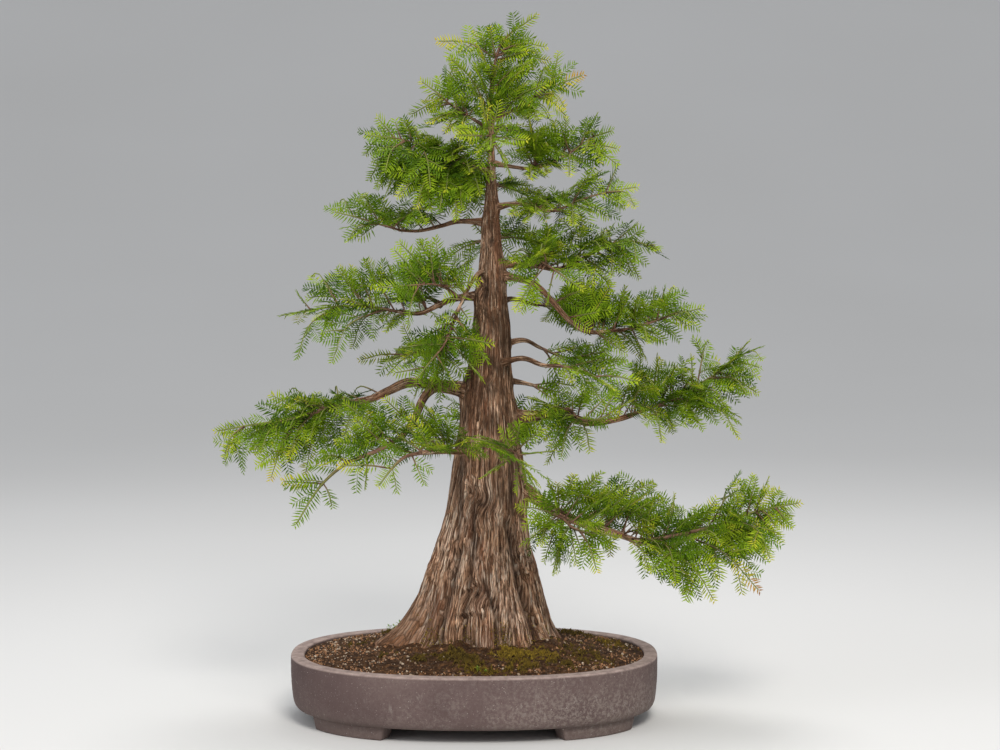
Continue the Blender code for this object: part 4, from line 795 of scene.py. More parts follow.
def unglazed_clay():
    """Mauve-brown sandy clay with specks and smears of pale mineral crust, most at the right and low down."""
    clay = Finish("unglazed_clay", 0.90, 0.22)
    place = clay.places()
    cloudy = clay.noise(place, 9, 6, 0.6)
    body = clay.ramp(cloudy, (0.32, (0.080, 0.054, 0.051)), (0.50, (0.126, 0.086, 0.080)),
                     (0.68, (0.178, 0.127, 0.115)))
    split = clay.add("SeparateXYZ", {"Vector": place})
    rightward = clay.maths("ADD", split.outputs["X"], 0.5)
    upward = clay.product(split.outputs["Z"], 10.0)
    # Painted light and shade across the front of the tray: darker at the left end, lightest in the middle
    pale = clay.ramp(rightward, (0.20, 0.0), (0.34, 0.55), (0.46, 1.0), (0.62, 0.30))
    painted_light_across = clay.mixed(pale, (0.066, 0.042, 0.040), (0.146, 0.098, 0.091))
    body = clay.mixed(0.50, body, painted_light_across)
    side = clay.ramp(rightward, (0.30, 0.22), (0.58, 1.0))
    low = clay.ramp(upward, (0.15, 1.0), (0.70, 0.35))
    area = clay.ramp(clay.noise(place, 13, 6, 0.65, 0.5), (0.34, 0.10), (0.54, 1.0))
    fine = clay.ramp(clay.noise(place, 240, 8, 0.78), (0.45, 0.0), (0.60, 1.0))
    crust = clay.product(clay.product(area, side), clay.product(fine, low))
    crusted = clay.mixed(clay.product(crust, 0.72), body, (0.350, 0.305, 0.265))
    smear = clay.noise(clay.stretched(place, (95, 95, 34)), 1.0, 7, 0.70, 0.8)
    smear = clay.ramp(smear, (0.60, 0.0), (0.70, 1.0))
    smeared = clay.mixed(clay.product(clay.product(smear, side), 0.60), crusted, (0.400, 0.360, 0.320))
    # Painted shading on the feet and the lowest wall, in patches: a tone set for the light that reaches them
    low_shading_mask = clay.ramp(upward, (0.0, 1.0), (0.17, 0.95), (0.34, 0.0))
    low_shading_mask = clay.product(low_shading_mask, clay.ramp(cloudy, (0.35, 0.25), (0.65, 0.75)))
    low_painted_shading = clay.mixed(low_shading_mask, smeared, (0.150, 0.112, 0.098))
    specks = clay.ramp(clay.noise(place, 520, 3, 0.6), (0.665, 0.0), (0.71, 1.0))
    speckled = clay.mixed(clay.product(specks, 0.70), low_painted_shading, (0.480, 0.430, 0.390))
    dark = clay.ramp(clay.noise(place, 700, 2, 0.5), (0.28, 1.0), (0.34, 0.0))
    pitted = clay.mixed(clay.product(dark, 0.55), speckled, (0.045, 0.032, 0.030))
    # A painted highlight on the top of the rim, in patches
    lip = clay.ramp(upward, (0.795, 0.0), (0.815, 1.0))
    rim_highlight_patches = clay.ramp(clay.noise(place, 60, 7, 0.7), (0.36, 0.38), (0.62, 0.95))
    rim_highlighted = clay.mixed(clay.product(lip, rim_highlight_patches), pitted, (0.450, 0.345, 0.305))
    sand = clay.noise(place, 950, 3, 0.6)
    normal = clay.bump(sand, 0.00028, 0.7, clay.bump(cloudy, 0.0012, 0.5))
    return clay.done(rim_highlighted, normal)


def furrowed_bark():
    """Stringy bark in long plates: pale tan and red-brown over dark cracks, greyer low down.

    The middle of the trunk is dimmer, in the shade of the pads, and the root at the left is dark red-brown,
    partly its own colour and partly painted shade on its upper face; grooves and scars hold painted shade.
    """
    bark = Finish("furrowed_bark", 0.86, 0.22)
    grain, furrow = bark.value("grain").outputs["Vector"], bark.value("furrow").outputs["Fac"]
    stir = bark.add("TexNoise", {"Vector": bark.stretched(grain, (60, 60, 22)), "Scale": 1.0,
                                 "Detail": 3}).outputs["Color"]
    shift = bark.vectors("MULTIPLY", stir, (0.0045, 0.0045, 0.030))
    stirred = bark.vectors("ADD", grain, shift)
    plates = {"Vector": bark.stretched(stirred, (560, 560, 30)), "Scale": 1.0}
    edge = bark.add("TexVoronoi", plates, feature="DISTANCE_TO_EDGE").outputs["Distance"]
    plate = bark.add("TexVoronoi", plates, feature="F1").outputs["Color"]
    chance = bark.add("SeparateColor", {"Color": plate}).outputs["Red"]
    fibre = bark.noise(bark.stretched(stirred, (780, 780, 42)), 1.0, 8, 0.74)
    tone = bark.maths("ADD", bark.product(fibre, 0.80), bark.product(chance, 0.24))
    wood = bark.ramp(tone, (0.375, (0.045, 0.020, 0.010)), (0.46, (0.270, 0.128, 0.064)),
                     (0.57, (0.800, 0.446, 0.258)), (0.70, (1.000, 0.760, 0.545)))
    grey = bark.ramp(tone, (0.375, (0.052, 0.028, 0.016)), (0.46, (0.320, 0.180, 0.107)),
                     (0.57, (0.930, 0.628, 0.446)), (0.70, (1.000, 0.890, 0.730)))
    place = bark.add("SeparateXYZ", {"Vector": bark.places()})
    height = place.outputs["Z"]
    low = bark.ramp(height, (0.12, 0.90), (0.40, 0.35))
    mottle = bark.noise(grain, 26, 5, 0.6)
    mixed = bark.mixed(bark.product(bark.ramp(mottle, (0.40, 0.10), (0.58, 1.0)), low), wood, grey)
    rusty = bark.ramp(bark.noise(bark.stretched(grain, (60, 60, 9)), 1.0, 3), (0.50, 0.0), (0.64, 0.66))
    rusted = bark.mixed(rusty, mixed, (0.340, 0.130, 0.060))
    rightward = bark.maths("ADD", place.outputs["X"], 0.5)
    # The root at the left is painted darker and warmer: partly its own colour, partly painted shade on its
    # upper face
    root = bark.product(bark.ramp(rightward, (0.385, 0.80), (0.430, 0.0)),
                        bark.ramp(height, (0.14, 1.0), (0.20, 0.0)))
    root_shaded = bark.mixed(root, rusted, (0.205, 0.092, 0.042))
    dim = bark.product(bark.ramp(height, (0.22, 0.06), (0.29, 0.42), (0.46, 0.88), (0.62, 0.58)),
                       bark.ramp(bark.noise(grain, 34, 4, 0.6), (0.38, 0.25), (0.60, 1.0)))
    shaded = bark.mixed(dim, root_shaded, (0.070, 0.036, 0.017))
    cracked = bark.mixed(bark.ramp(edge, (0.0, 0.62), (0.12, 0.0)), shaded, (0.030, 0.015, 0.008))
    # The furrow value darkens the bark: the cracks' own dark, and painted shade in the grooves and scars
    deep = bark.mixed(bark.ramp(furrow, (0.30, 0.0), (1.0, 0.86)), cracked, (0.034, 0.019, 0.012))
    raised = bark.maths("MINIMUM", bark.product(edge, 4.0), 1.0)
    normal = bark.bump(fibre, 0.0014, 0.9, bark.bump(raised, 0.0014, 0.9))
    return bark.done(deep, normal)


def twig_bark():
    """Smooth red-brown bark that turns green towards the young ends."""
    twig = Finish("twig_bark", 0.70, 0.35)
    grain, age = twig.value("grain").outputs["Vector"], twig.value("age").outputs["Fac"]
    streak = twig.noise(twig.stretched(grain, (500, 500, 60)), 1.0, 4, 0.6)
    woody = twig.ramp(streak, (0.35, (0.080, 0.036, 0.022)), (0.60, (0.240, 0.130, 0.080)))
    young = twig.ramp(streak, (0.30, (0.110, 0.150, 0.030)), (0.65, (0.230, 0.250, 0.050)))
    return twig.done(twig.mixed(twig.ramp(age, (0.45, 0.0), (0.80, 1.0)), woody, young),
                     twig.bump(streak, 0.0003, 0.6))


def soft_needles():
    """Fresh green, from deep blue-green inside a pad, partly painted shade, to yellow-green tips, and a few
    dry brown ones.
    """
    needle = Finish("soft_needles", 0.66, 0.09)
    tint = needle.value("tint").outputs["Fac"]
    patch = needle.noise(needle.places(), 60, 2, 0.5)
    shifted = needle.maths("MULTIPLY_ADD", needle.maths("SUBTRACT", patch, 0.5), 0.10, tint)
    colour = needle.ramp(shifted, (0.0, (0.013, 0.034, 0.002)), (0.26, (0.050, 0.107, 0.004)),
                         (0.50, (0.132, 0.226, 0.007)), (0.70, (0.262, 0.362, 0.013)),
                         (0.80, (0.480, 0.460, 0.035)), (0.90, (0.430, 0.240, 0.035)),
                         (1.0, (0.260, 0.110, 0.030)))
    return needle.done(colour)


def dark_soil():
    soil = Finish("dark_soil", 0.95, 0.2)
    place = soil.places()
    coarse = soil.noise(place, 130, 6, 0.7)
    colour = soil.ramp(coarse, (0.34, (0.016, 0.007, 0.003)), (0.50, (0.048, 0.021, 0.008)),
                       (0.62, (0.120, 0.056, 0.022)), (0.74, (0.235, 0.120, 0.055)))
    return soil.done(colour, soil.bump(coarse, 0.0020, 1.0))


def grit(name, low, high, spots):
    grain = Finish(name, 0.88, 0.3)
    tint, place = grain.value("tint").outputs["Fac"], grain.places()
    base = grain.ramp(tint, (0.0, low), (1.0, high))
    rough = grain.noise(place, 900, 4, 0.6)
    colour = grain.mixed(grain.ramp(rough, (0.42, 0.0), (0.66, 0.7)), base, spots)
    return grain.done(colour, grain.bump(rough, 0.0004, 0.8))


def living_moss():
    moss = Finish("living_moss", 0.80, 0.25)
    tint = moss.value("tint").outputs["Fac"]
    colour = moss.ramp(tint, (0.0, (0.014, 0.010, 0.003)), (0.35, (0.074, 0.048, 0.008)),
                       (0.70, (0.205, 0.132, 0.014)), (1.0, (0.410, 0.290, 0.028)))
    return moss.done(colour)


def seedling_leaf():
    leaf = Finish("seedling_leaf", 0.45, 0.4)
    vein = leaf.noise(leaf.places(), 300, 2)
    return leaf.done(leaf.ramp(vein, (0.35, (0.095, 0.170, 0.012)), (0.65, (0.230, 0.330, 0.028))))


def drain_mesh_plastic():
    plastic = Finish("drain_mesh_plastic", 0.55, 0.4)
    scuff = plastic.noise(plastic.places(), 240, 4)
    return plastic.done(plastic.ramp(scuff, (0.40, (0.010, 0.010, 0.010)), (0.70, (0.030, 0.029, 0.027))))


def between(table, z):
    """Centre x and half width at a height, on straight lines between the table's rows."""
    for (z0, *low), (z1, *high) in zip(table, table[1:]):
        if z <= z1:
            share = share_of((z - z0) / (z1 - z0))
            return [a + (b - a) * share for a, b in zip(low, high)]
    return list(table[-1][1:])


def trunk_radius(z, angle):
    """Distance from the trunk's axis to its surface, at a height and a bearing in radians."""
    _, half = between(TRUNK, z)
    share = share_of((z - SOIL_LINE_Z) / (ROUND_FROM_Z - SOIL_LINE_Z))
    depth = half * (DEPTH_AT_BASE + (DEPTH_AT_TOP - DEPTH_AT_BASE) * share)
    radius = half * depth / math.hypot(depth * math.cos(angle), half * math.sin(angle))
    above = max(z - SOIL_LINE_Z, 0.0)
    rib = RIB_SHARE * half * math.exp(-above / RIB_FALL)
    radius -= rib
    for bearing, reach, width in BUTTRESSES:
        away = (math.degrees(angle) - bearing + 180) % 360 - 180
        ridge = math.exp(-((away / width) ** 2))
        radius += ridge * (reach * math.exp(-above / ROOT_FALL) + rib)
    return radius


def off_trunk(x, y, z):
    """How far a point stands off the trunk's surface, and less than 0 inside it."""
    centre, _ = between(TRUNK, z)
    return math.hypot(x - centre, y) - trunk_radius(z, math.atan2(y, x - centre))


def bark_relief(angle, z, half):
    """How far the bark stands out at a bearing, at z along the grain, and how dark its cracks are there."""
    x, y = math.cos(angle), math.sin(angle)
    wander, turns, changes = BARK_DRIFT
    drift = wander * noise.noise(Vector((x * turns, y * turns, z * changes)))
    size, out, furrow = RELIEF_SHARE * half + RELIEF_LEAST, 0.0, 0.0
    share_round = math.sqrt(half / TRUNK[0][2])
    for turns, changes, share in BARK_WAVES:
        wave = noise.noise(Vector((x * turns + drift, y * turns - drift, z * changes + turns)))
        out += wave * share * size
    for turns, changes, share in BARK_PLATES:
        turns *= share_round
        apart = noise.voronoi(Vector((x * turns + drift, y * turns - drift, z * changes + drift * 3)))[0]
        rise = min((apart[1] - apart[0]) * PLATE_STEEP, 1.0)
        out += (rise - PLATE_SUNK) * share * size
        furrow = max(furrow, (1 - rise) ** 2 * CRACK_DARK * min(1.0, CRACK_FAINTEST + half / CRACK_HALF))
    return out, furrow


def leaves_trunk_at(route):
    """Where a limb's route comes out of the trunk, and None for one that starts on another limb."""
    start, onward = Vector(route[0]), Vector(route[1])
    centre, _ = between(TRUNK, start.z)
    if math.hypot(start.x - centre, start.y) > trunk_radius(start.z, 0.0):
        return None
    for i in range(EXIT_STEPS + 1):
        place = start.lerp(onward, i / EXIT_STEPS)
        if off_trunk(*place) > 0:
            return place
    return onward


def cut_scars(places, outward, front, grain, furrow):
    """Sinks the scars into the trunk's front, each with a raised lip and rings, where the grain swirls;
    paints shade in each dent.
    """
    for x, z, wide, high, deep in SCARS:
        across, up = places[:, 0] - x, places[:, 2] - z
        bearing, uneven = np.arctan2(up, across), 1.0
        for (count, turned, stray), at in zip(SCAR_LOBES, (x, z)):
            uneven = uneven + stray * np.sin(count * bearing + at * turned)
        away = np.hypot(across / wide, up / high) * uneven
        turn = SWIRL * np.exp(-(away**2)) * front
        grain[:, 0] += across * (np.cos(turn) - 1) - up * np.sin(turn)
        grain[:, 2] += across * np.sin(turn) + up * (np.cos(turn) - 1)
        rings = RING_HEIGHT * np.cos(away * RING_CHANGES) * np.exp(-((away / RING_REACH) ** 4))
        lip = LIP_HEIGHT * np.exp(-(((away - LIP_PLACE) / LIP_WIDTH) ** 2))
        dent = np.exp(-(away**2) * SCAR_FALL) - lip + rings
        places -= outward * (dent * deep * front)[:, None]
        furrow[:] = np.maximum(furrow, (SCAR_SHADE * np.exp(-(away**2) * SCAR_SHADE_FALL) + rings) * front)


def cut_grooves(places, outward, front, furrow):
    """Sinks the grooves between the buttresses into the trunk's front, and paints shade along them."""
    for route, wide, deep in GROOVES:
        away = np.full(len(places), 1.0)
        for (x0, z0), (x1, z1) in zip(route, route[1:]):
            run = (places[:, 2] - z0) / (z1 - z0)
            share = np.clip(run, 0, 1)
            beside = np.hypot(places[:, 0] - x0 - (x1 - x0) * share, (run - share) * (z1 - z0))
            away = np.minimum(away, beside)
        dent = np.exp(-GROOVE_FALL * away / wide) * front
        places -= outward * (dent * deep)[:, None]
        furrow[:] = np.maximum(furrow, np.exp(-GROOVE_SHADE_FALL * away / wide) * front)


def raise_bumps(places, outward):
    """Raises the burls, and the trunk's surface round each limb's foot."""
    bumps = [(np.array(burl[:3]), burl[3], burl[4]) for burl in BURLS]
    radius_share, height_share = COLLAR_BUMP
    for thick, _, route in LIMBS.values():
        exit_place = leaves_trunk_at(route)
        if exit_place is not None:
            bumps.append((np.array(exit_place), radius_share * thick, height_share * thick))
    for centre, radius, out in bumps:
        near = np.exp(-(np.linalg.norm((places - centre) * BUMP_SQUASH, axis=1) / radius) ** 2)
        places += outward * (near * out)[:, None]


def wrapped_map(rows, count, column=0, row=0, cells=1):
    """Places for a skin's face corners: round the skin across a cell, and along it up the cell."""
    inside = 1 - 2 * MAP_MARGIN

    def spot(i, r):
        return ((column + MAP_MARGIN + inside * i / count) / cells,
                (row + MAP_MARGIN + inside * r / rows) / cells)

    places = []
    for r in range(rows - 1):
        for i in range(count):
            places += [spot(i, r + 0.5), spot(i + 1, r + 0.5), spot(i + 1, r + 1.5), spot(i, r + 1.5)]
    for i in range(count):
        places += [spot(i + 0.5, 0), spot(i + 1, 0.5), spot(i, 0.5)]
    for i in range(count):
        places += [spot(i + 0.5, rows), spot(i, rows - 0.5), spot(i + 1, rows - 0.5)]
    return places


def skin_faces(rows, count, first=0):
    """Faces over rings of count points, then a fan at each end to the two points that follow them."""
    faces = []
    for r in range(rows - 1):
        low, high = first + r * count, first + (r + 1) * count
        for i in range(count):
            j = (i + 1) % count
            faces.append((low + i, low + j, high + j, high + i))
    last, foot = first + (rows - 1) * count, first + rows * count
    for i in range(count):
        faces.append((foot, first + (i + 1) % count, first + i))
    for i in range(count):
        faces.append((foot + 1, last + i, last + (i + 1) % count))
    return faces


def make_trunk():
    places, outward, grain, furrow = [], [], [], []
    for r in range(BARK_ROWS):
        z = TRUNK_FOOT_Z + (TRUNK_TOP_Z - TRUNK_FOOT_Z) * (r / (BARK_ROWS - 1)) ** ROW_GROWTH
        centre, half = between(TRUNK, z)
        for i in range(BARK_SIDES):
            angle = 2 * math.pi * i / BARK_SIDES
            reach = trunk_radius(z, angle)
            run = z - (reach - half)
            out, crease = bark_relief(angle, run, half)
            reach += out
            x, y = math.cos(angle), math.sin(angle)
            places.append((centre + reach * x, reach * y, z))
            outward.append((x, y, 0))
            spread = math.sqrt(GRAIN_RADIUS * half)
            grain.append((x * spread, y * spread, run))
            furrow.append(crease)
    for z in (TRUNK_FOOT_Z, TRUNK_TOP_Z):
        places.append((between(TRUNK, z)[0], 0, z))
        outward.append((0, 0, 0))
        grain.append((0, 0, z))
        furrow.append(END_FURROW)
    places, outward, grain, furrow = map(np.array, (places, outward, grain, furrow))
    front = places[:, 1] < 0
    cut_scars(places, outward, front, grain, furrow)
    cut_grooves(places, outward, front, furrow)
    raise_bumps(places, outward)
    trunk = own_piece("trunk", places.tolist(), skin_faces(BARK_ROWS, BARK_SIDES))
    write_map(trunk, wrapped_map(BARK_ROWS, BARK_SIDES))
    write_values(trunk, "grain", grain, "FLOAT_VECTOR")
    write_values(trunk, "furrow", furrow)
    trunk.data.shade_smooth()
    return trunk


def smooth_way(points, step):
    """Points about a step apart on a smooth curve through the given ones."""
    points = [Vector(point) for point in points]
    points = [points[0] * 2 - points[1], *points, points[-1] * 2 - points[-2]]
    way = []
    for a, b, c, d in zip(points, points[1:], points[2:], points[3:]):
        parts = max(round((c - b).length / step), 1)
        for i in range(parts):
            t = i / parts
            way.append(0.5 * (2 * b + (c - a) * t + (2 * a - 5 * b + 4 * c - d) * t * t
                              + (3 * b - a - 3 * c + d) * t**3))
    return [*way, points[-2]]


def frames_along(way):
    """Each point of a way with its heading, a side and an up, which turn as little as they can."""
    found, side = [], None
    for i, place in enumerate(way):
        heading = (way[min(i + 1, len(way) - 1)] - way[max(i - 1, 0)]).normalized()
        if side is None:
            side = heading.cross(Vector((0, 0, 1)))
            if side.length < 0.1:
                side = Vector((1, 0, 0))
        side = (side - heading * side.dot(heading)).normalized()
        found.append((place, heading, side, side.cross(heading)))
    return found


def gnarled(x, y, run, own):
    """Knobs and ribs of a limb, at a place round it and along it; own sets each limb's apart."""
    turns, changes = KNOBS
    knob = noise.noise(Vector((x * turns + own, y * turns, run * changes)))
    turns, changes = RIBS
    rib = abs(noise.noise(Vector((x * turns, y * turns + own, run * changes))))
    return knob + RIB_SIZE * rib - RIB_SUNK


class Growth:
    """Collects tubes that grow along ways into one piece, each with a cell of its map."""

    def __init__(self, tubes):
        self.cells, self.used = math.ceil(math.sqrt(tubes)), 0
        self.points, self.faces, self.map = [], [], []
        self.grain, self.values = [], []

    def tube(self, way, radius_at, value_at, sides, gnarl):
        """radius_at and value_at take the distance from the foot and the whole length."""
        steps = [0.0]
        for a, b in zip(way, way[1:]):
            steps.append(steps[-1] + (b - a).length)
        whole, first = steps[-1], len(self.points)
        for (place, _, side, up), run in zip(frames_along(way), steps):
            for i in range(sides):
                angle = 2 * math.pi * i / sides
                x, y = math.cos(angle), math.sin(angle)
                radius = radius_at(run, whole)
                if gnarl:
                    radius *= 1 + gnarl * gnarled(x, y, run, first)
                self.points.append(place + (side * x + up * y) * radius)
                self.grain.append((x * radius + first, y * radius, run))
                self.values.append(value_at(run, whole))
        for place, run in ((way[0], 0.0), (way[-1] + (way[-1] - way[-2]).normalized() * radius, whole)):
            self.points.append(place)
            self.grain.append((first, 0, run))
            self.values.append(value_at(run, whole))
        self.faces += skin_faces(len(way), sides, first)
        self.map += wrapped_map(len(way), sides, self.used % self.cells, self.used // self.cells, self.cells)
        self.used += 1

    def piece(self, name, value_name):
        piece = own_piece(name, self.points, self.faces)
        write_map(piece, self.map)
        write_values(piece, "grain", self.grain, "FLOAT_VECTOR")
        write_values(piece, value_name, self.values)
        piece.data.shade_smooth()
        return piece


def make_limbs():
    growth = Growth(len(LIMBS))
    for name, (thick, thin, route) in LIMBS.items():
        way = smooth_way(route, LIMB_STEP)
        share = 0.0 if name == "leader" else COLLAR_SHARE
        exit_place = leaves_trunk_at(route)
        bare = 0.0 if exit_place is None else (exit_place - Vector(route[0])).length

        def radius_at(run, whole):
            collar = thick * share * math.exp(-max(run - bare, 0.0) / COLLAR_FALL)
            return thick + (thin - thick) * run / whole + collar

        growth.tube(way, radius_at, lambda run, whole: LIMB_FURROW, LIMB_SIDES, LIMB_GNARL)
    return growth.piece("limbs", "furrow")


def stem_points(name):
    """A stem's points, from just clear of its limb's end, and its radius there."""
    _, thin, route = LIMBS[name]
    end, before = Vector(route[-1]), Vector(route[-2])
    passed, tips = SPRAYS[name]
    start = end - (end - before).normalized() * thin
    return [start, *map(Vector, passed), Vector(tips[0])], thin * STEM_RADIUS_SHARE


def leaving_point(stem, tip, reach, back_off):
    """Where a twig to tip leaves the stem: below the nearest point, so that it branches forwards."""
    lengths = [(b - a).length for a, b in zip(stem, stem[1:])]
    first, last = reach
    best = None
    travelled = 0.0
    for a, b, length in zip(stem, stem[1:], lengths):
        share = share_of((tip - a).dot(b - a) / length**2)
        distance = (tip - a.lerp(b, share)).length
        if best is None or distance < best[0]:
            best = (distance, travelled + share * length)
        travelled += length
    target = min(max(best[1] - back_off * best[0], first * travelled), last * travelled)
    for a, b, length in zip(stem, stem[1:], lengths):
        if target <= length:
            return a.lerp(b, target / length), (b - a).normalized()
        target -= length
    return stem[-1], (stem[-1] - stem[-2]).normalized()


def spray_side(way, faces_front, draw):
    """The direction across a way's flat spray.

    The spray faces the front if asked. On a way that grows mostly forwards or backwards it hangs turned
    away from the front, and on any other it lies nearly level or is rolled steeply about the way.
    """
    heading = (way[-1] - way[0]).normalized()
    if faces_front:
        return heading.cross(Vector((0, 1, 0))).normalized()
    if abs(heading.y) > FRONTWARD:
        turn, roll = (draw.choice((-1, 1)) * draw.uniform(*TURNED_AWAY) for _ in range(2))
        return Vector((1, turn, roll)).normalized()
    level = heading.cross(Vector((draw.gauss(0, LEVEL_STRAY), draw.gauss(0, LEVEL_STRAY), 1))).normalized()
    roll = draw.gauss(0, LEVEL_ROLL)
    if draw.random() < STEEP_SHARE:
        roll = draw.choice((-1, 1)) * draw.uniform(*STEEP_ROLL)
    return Matrix.Rotation(roll, 3, heading) @ level


def leaving(heading, side, hand, scatter, spread, draw):
    """The course of what leaves a way to one side in its spray, and the side of its own spray."""
    across = (side - heading * side.dot(heading)).normalized()
    across = Matrix.Rotation(draw.gauss(0, scatter), 3, heading) @ across * hand
    lean = draw.uniform(*spread)
    return (heading * math.cos(lean) + across * math.sin(lean),
            (heading * math.sin(lean) - across * math.cos(lean)) * hand)


def in_gap(place):
    """Whether a point, seen from the front, lies in one of the gaps among the pads."""
    nearer = CAMERA_PLACE[1] / (CAMERA_PLACE[1] - place.y)
    x = CAMERA_PLACE[0] + (place.x - CAMERA_PLACE[0]) * nearer
    z = CAMERA_PLACE[2] + (place.z - CAMERA_PLACE[2]) * nearer
    return any(((x - cx) / wide) ** 2 + ((z - cz) / high) ** 2 < 1 for cx, cz, wide, high in GAPS)


def way_length(way):
    return sum((b - a).length for a, b in zip(way, way[1:]))


def along(way, back):
    """The point this far back from a way's end, and the direction there."""
    for a, b in zip(reversed(way[:-1]), reversed(way[1:])):
        length = (b - a).length
        if back <= length:
            return b.lerp(a, back / length), (b - a).normalized()
        back -= length
    return way[0], (way[1] - way[0]).normalized()


def clear_of_trunk(place):
    centre, half = between(TRUNK, place.z)
    far = math.hypot(place.x - centre, place.y) > half + FAR_OFF
    return far or off_trunk(*place) > TRUNK_CLEAR


def side_shoots(way, side, draw):
    """Shoots on alternate sides of a way, shorter towards its tip, made like the ways of pad_ways."""
    whole = way_length(way)
    longest = min(SHOOT_LENGTH, SHOOT_OF_WAY * whole)
    bare_foot, back = SHOOT_BARE
    hand, shoots = draw.choice((-1, 1)), []
    while back < whole - bare_foot:
        place, heading = along(way, back)
        course, own_side = leaving(heading, side, hand, SHOOT_ROLL, SHOOT_SPREAD, draw)
        length = longest * min(1.0, SHOOT_TIP_SHARE + back / SHOOT_GROWN) * draw.uniform(*SHOOT_LUCK)
        end = place + course * length + Vector((0, 0, -SHOOT_DROP * length))
        if clear_of_trunk(end) and length > SHOOT_LEAST and not in_gap(end):
            middle = place.lerp(end, 0.5) + Vector((0, 0, SHOOT_ARCH * length))
            shoots.append((smooth_way([place, middle, end], TWIG_STEP), SHOOT_RADII, *SHOOT_MAKE, own_side))
        back += SHOOT_STEP * draw.uniform(*SHOOT_STEP_LUCK)
        hand = -hand
    return shoots


def back_tips(limb, draw):
    """Where the added shoots of a pad behind the trunk end."""
    way = smooth_way(limb, TWIG_STEP)
    reach = BACK_SHARE * way_length(way)
    near_tip, further_in = BACK_LENGTH
    back, hand, tips = BACK_BARE_TIP, 1, []
    while back < reach:
        place, heading = along(way, back)
        across = heading.cross(Vector((0, 0, 1))).normalized() * hand
        lean = draw.uniform(*BACK_SPREAD)
        length = (near_tip + (further_in - near_tip) * back / reach) * draw.uniform(*BACK_LUCK)
        tip = place + (heading * math.cos(lean) + across * math.sin(lean)) * length
        tips.append(tip + Vector((0, 0, draw.uniform(-BACK_RISE, BACK_RISE))))
        back += BACK_STEP * draw.uniform(*STEP_LUCK)
        hand = -hand
    return tips


def pad_tips(name, stem, draw):
    """Where a pad's twigs end, each with what carries it and the part of that along which it may leave."""
    limb = [*map(Vector, LIMBS[name][2]), *stem[1:]]
    tips = [(stem, Vector(tip), STEM_REACH) for tip in SPRAYS[name][1][1:]]
    for x, y, z in FILL_SHOOTS.get(name, ()):
        for deep in ((y, -y) if name in TWINNED and y < 0 else (y,)):
            if not in_gap(Vector((x, deep, z))):
                tips.append((limb, Vector((x, deep, z)), FILL_REACH))
    if name in BACK_PADS:
        tips += [(limb, tip, FILL_REACH) for tip in back_tips(limb, draw) if not in_gap(tip)]
    if name == "right_twig":
        stub = [*map(Vector, LIMBS["right_stub"][2])]
        tips += [(stub, Vector(tip), STUB_REACH) for tip in STUB_SHOOTS]
    return tips


def twig_route(carrier, tip, reach, back_off):
    """A twig's course: hooked over if it grows forwards or backwards, else arched if long, or straight."""
    start, heading = leaving_point(carrier, tip, reach, back_off)
    length = (tip - start).length
    if abs(tip.y - start.y) > FRONTWARD * length:
        return [start, start.lerp(tip, HOOK_PLACE) + Vector((0, 0, HOOK_RISE * length)), tip]
    if length < LONG_TWIG:
        return [start, tip]
    lift = heading * TWIG_SWEEP * length + Vector((0, 0, TWIG_ARCH * length))
    return [start, start.lerp(tip, 0.5) + lift, tip]


def pad_ways(name, draw):
    """A pad's stem, twigs and side shoots: each one's way, radii, sides, youth of bark and spray's side."""
    stem, foot_radius = stem_points(name)
    ways = [(smooth_way(stem, TWIG_STEP), (foot_radius, STEM_TIP_RADIUS), *STEM_MAKE)]
    back_off = LEADER_BACK_OFF if name == "leader" else BACK_OFF
    for carrier, tip, reach in pad_tips(name, stem, draw):
        route = twig_route(carrier, tip, reach, back_off)
        ways.append((smooth_way(route, TWIG_STEP), (TWIG_RADIUS, TWIG_TIP_RADIUS), *TWIG_MAKE))
    grown = [(*way, spray_side(way[0], (name, number) in TURNED_TIPS, draw))
             for number, way in enumerate(ways)]
    for way, *_, side in list(grown):
        grown += side_shoots(way, side, draw)
    return grown


def make_twigs(pads):
    growth = Growth(sum(map(len, pads.values())))
    for pad in pads.values():
        for way, (thick, thin), sides, youth, _ in pad:
            growth.tube(way, lambda run, whole: thick + (thin - thick) * run / whole,
                        lambda run, whole: youth + (1 - youth) * run / whole, sides, 0)
    return growth.piece("twigs", "age")


def sprigs_on(way, side, draw, inner):
    """Branchlets on one way, its end first: foot, heading, plane normal, length and how young each is."""
    whole = way_length(way)
    place, _ = along(way, min(TERMINAL_LENGTH, TERMINAL_SHARE * whole))
    last = way[-1] - place
    found = [(place, last.normalized(), last.cross(side).normalized(), last.length + TERMINAL_OVER, 1.0)]
    back, hand = BARE_TIP, draw.choice((-1, 1))
    while back < whole - inner:
        place, heading = along(way, back)
        course, own_side = leaving(heading, side, hand, SPRIG_ROLL, SPRIG_SPREAD, draw)
        grown = SPRIG_TIP_SHARE + (1 - SPRIG_TIP_SHARE) * min(back / SPRIG_GROWN, 1.0)
        length = SPRIG_LENGTH * grown * draw.uniform(*SPRIG_LUCK)
        end = place + course * length
        if clear_of_trunk(end) and not any(in_gap(place.lerp(end, share)) for share in GAP_SHARES):
            found.append((place, course, course.cross(own_side).normalized(), length,
                          1 - back / max(whole, YOUNG_REACH)))
        back += SPRIG_STEP * draw.uniform(*STEP_LUCK)
        hand = -hand
    return found


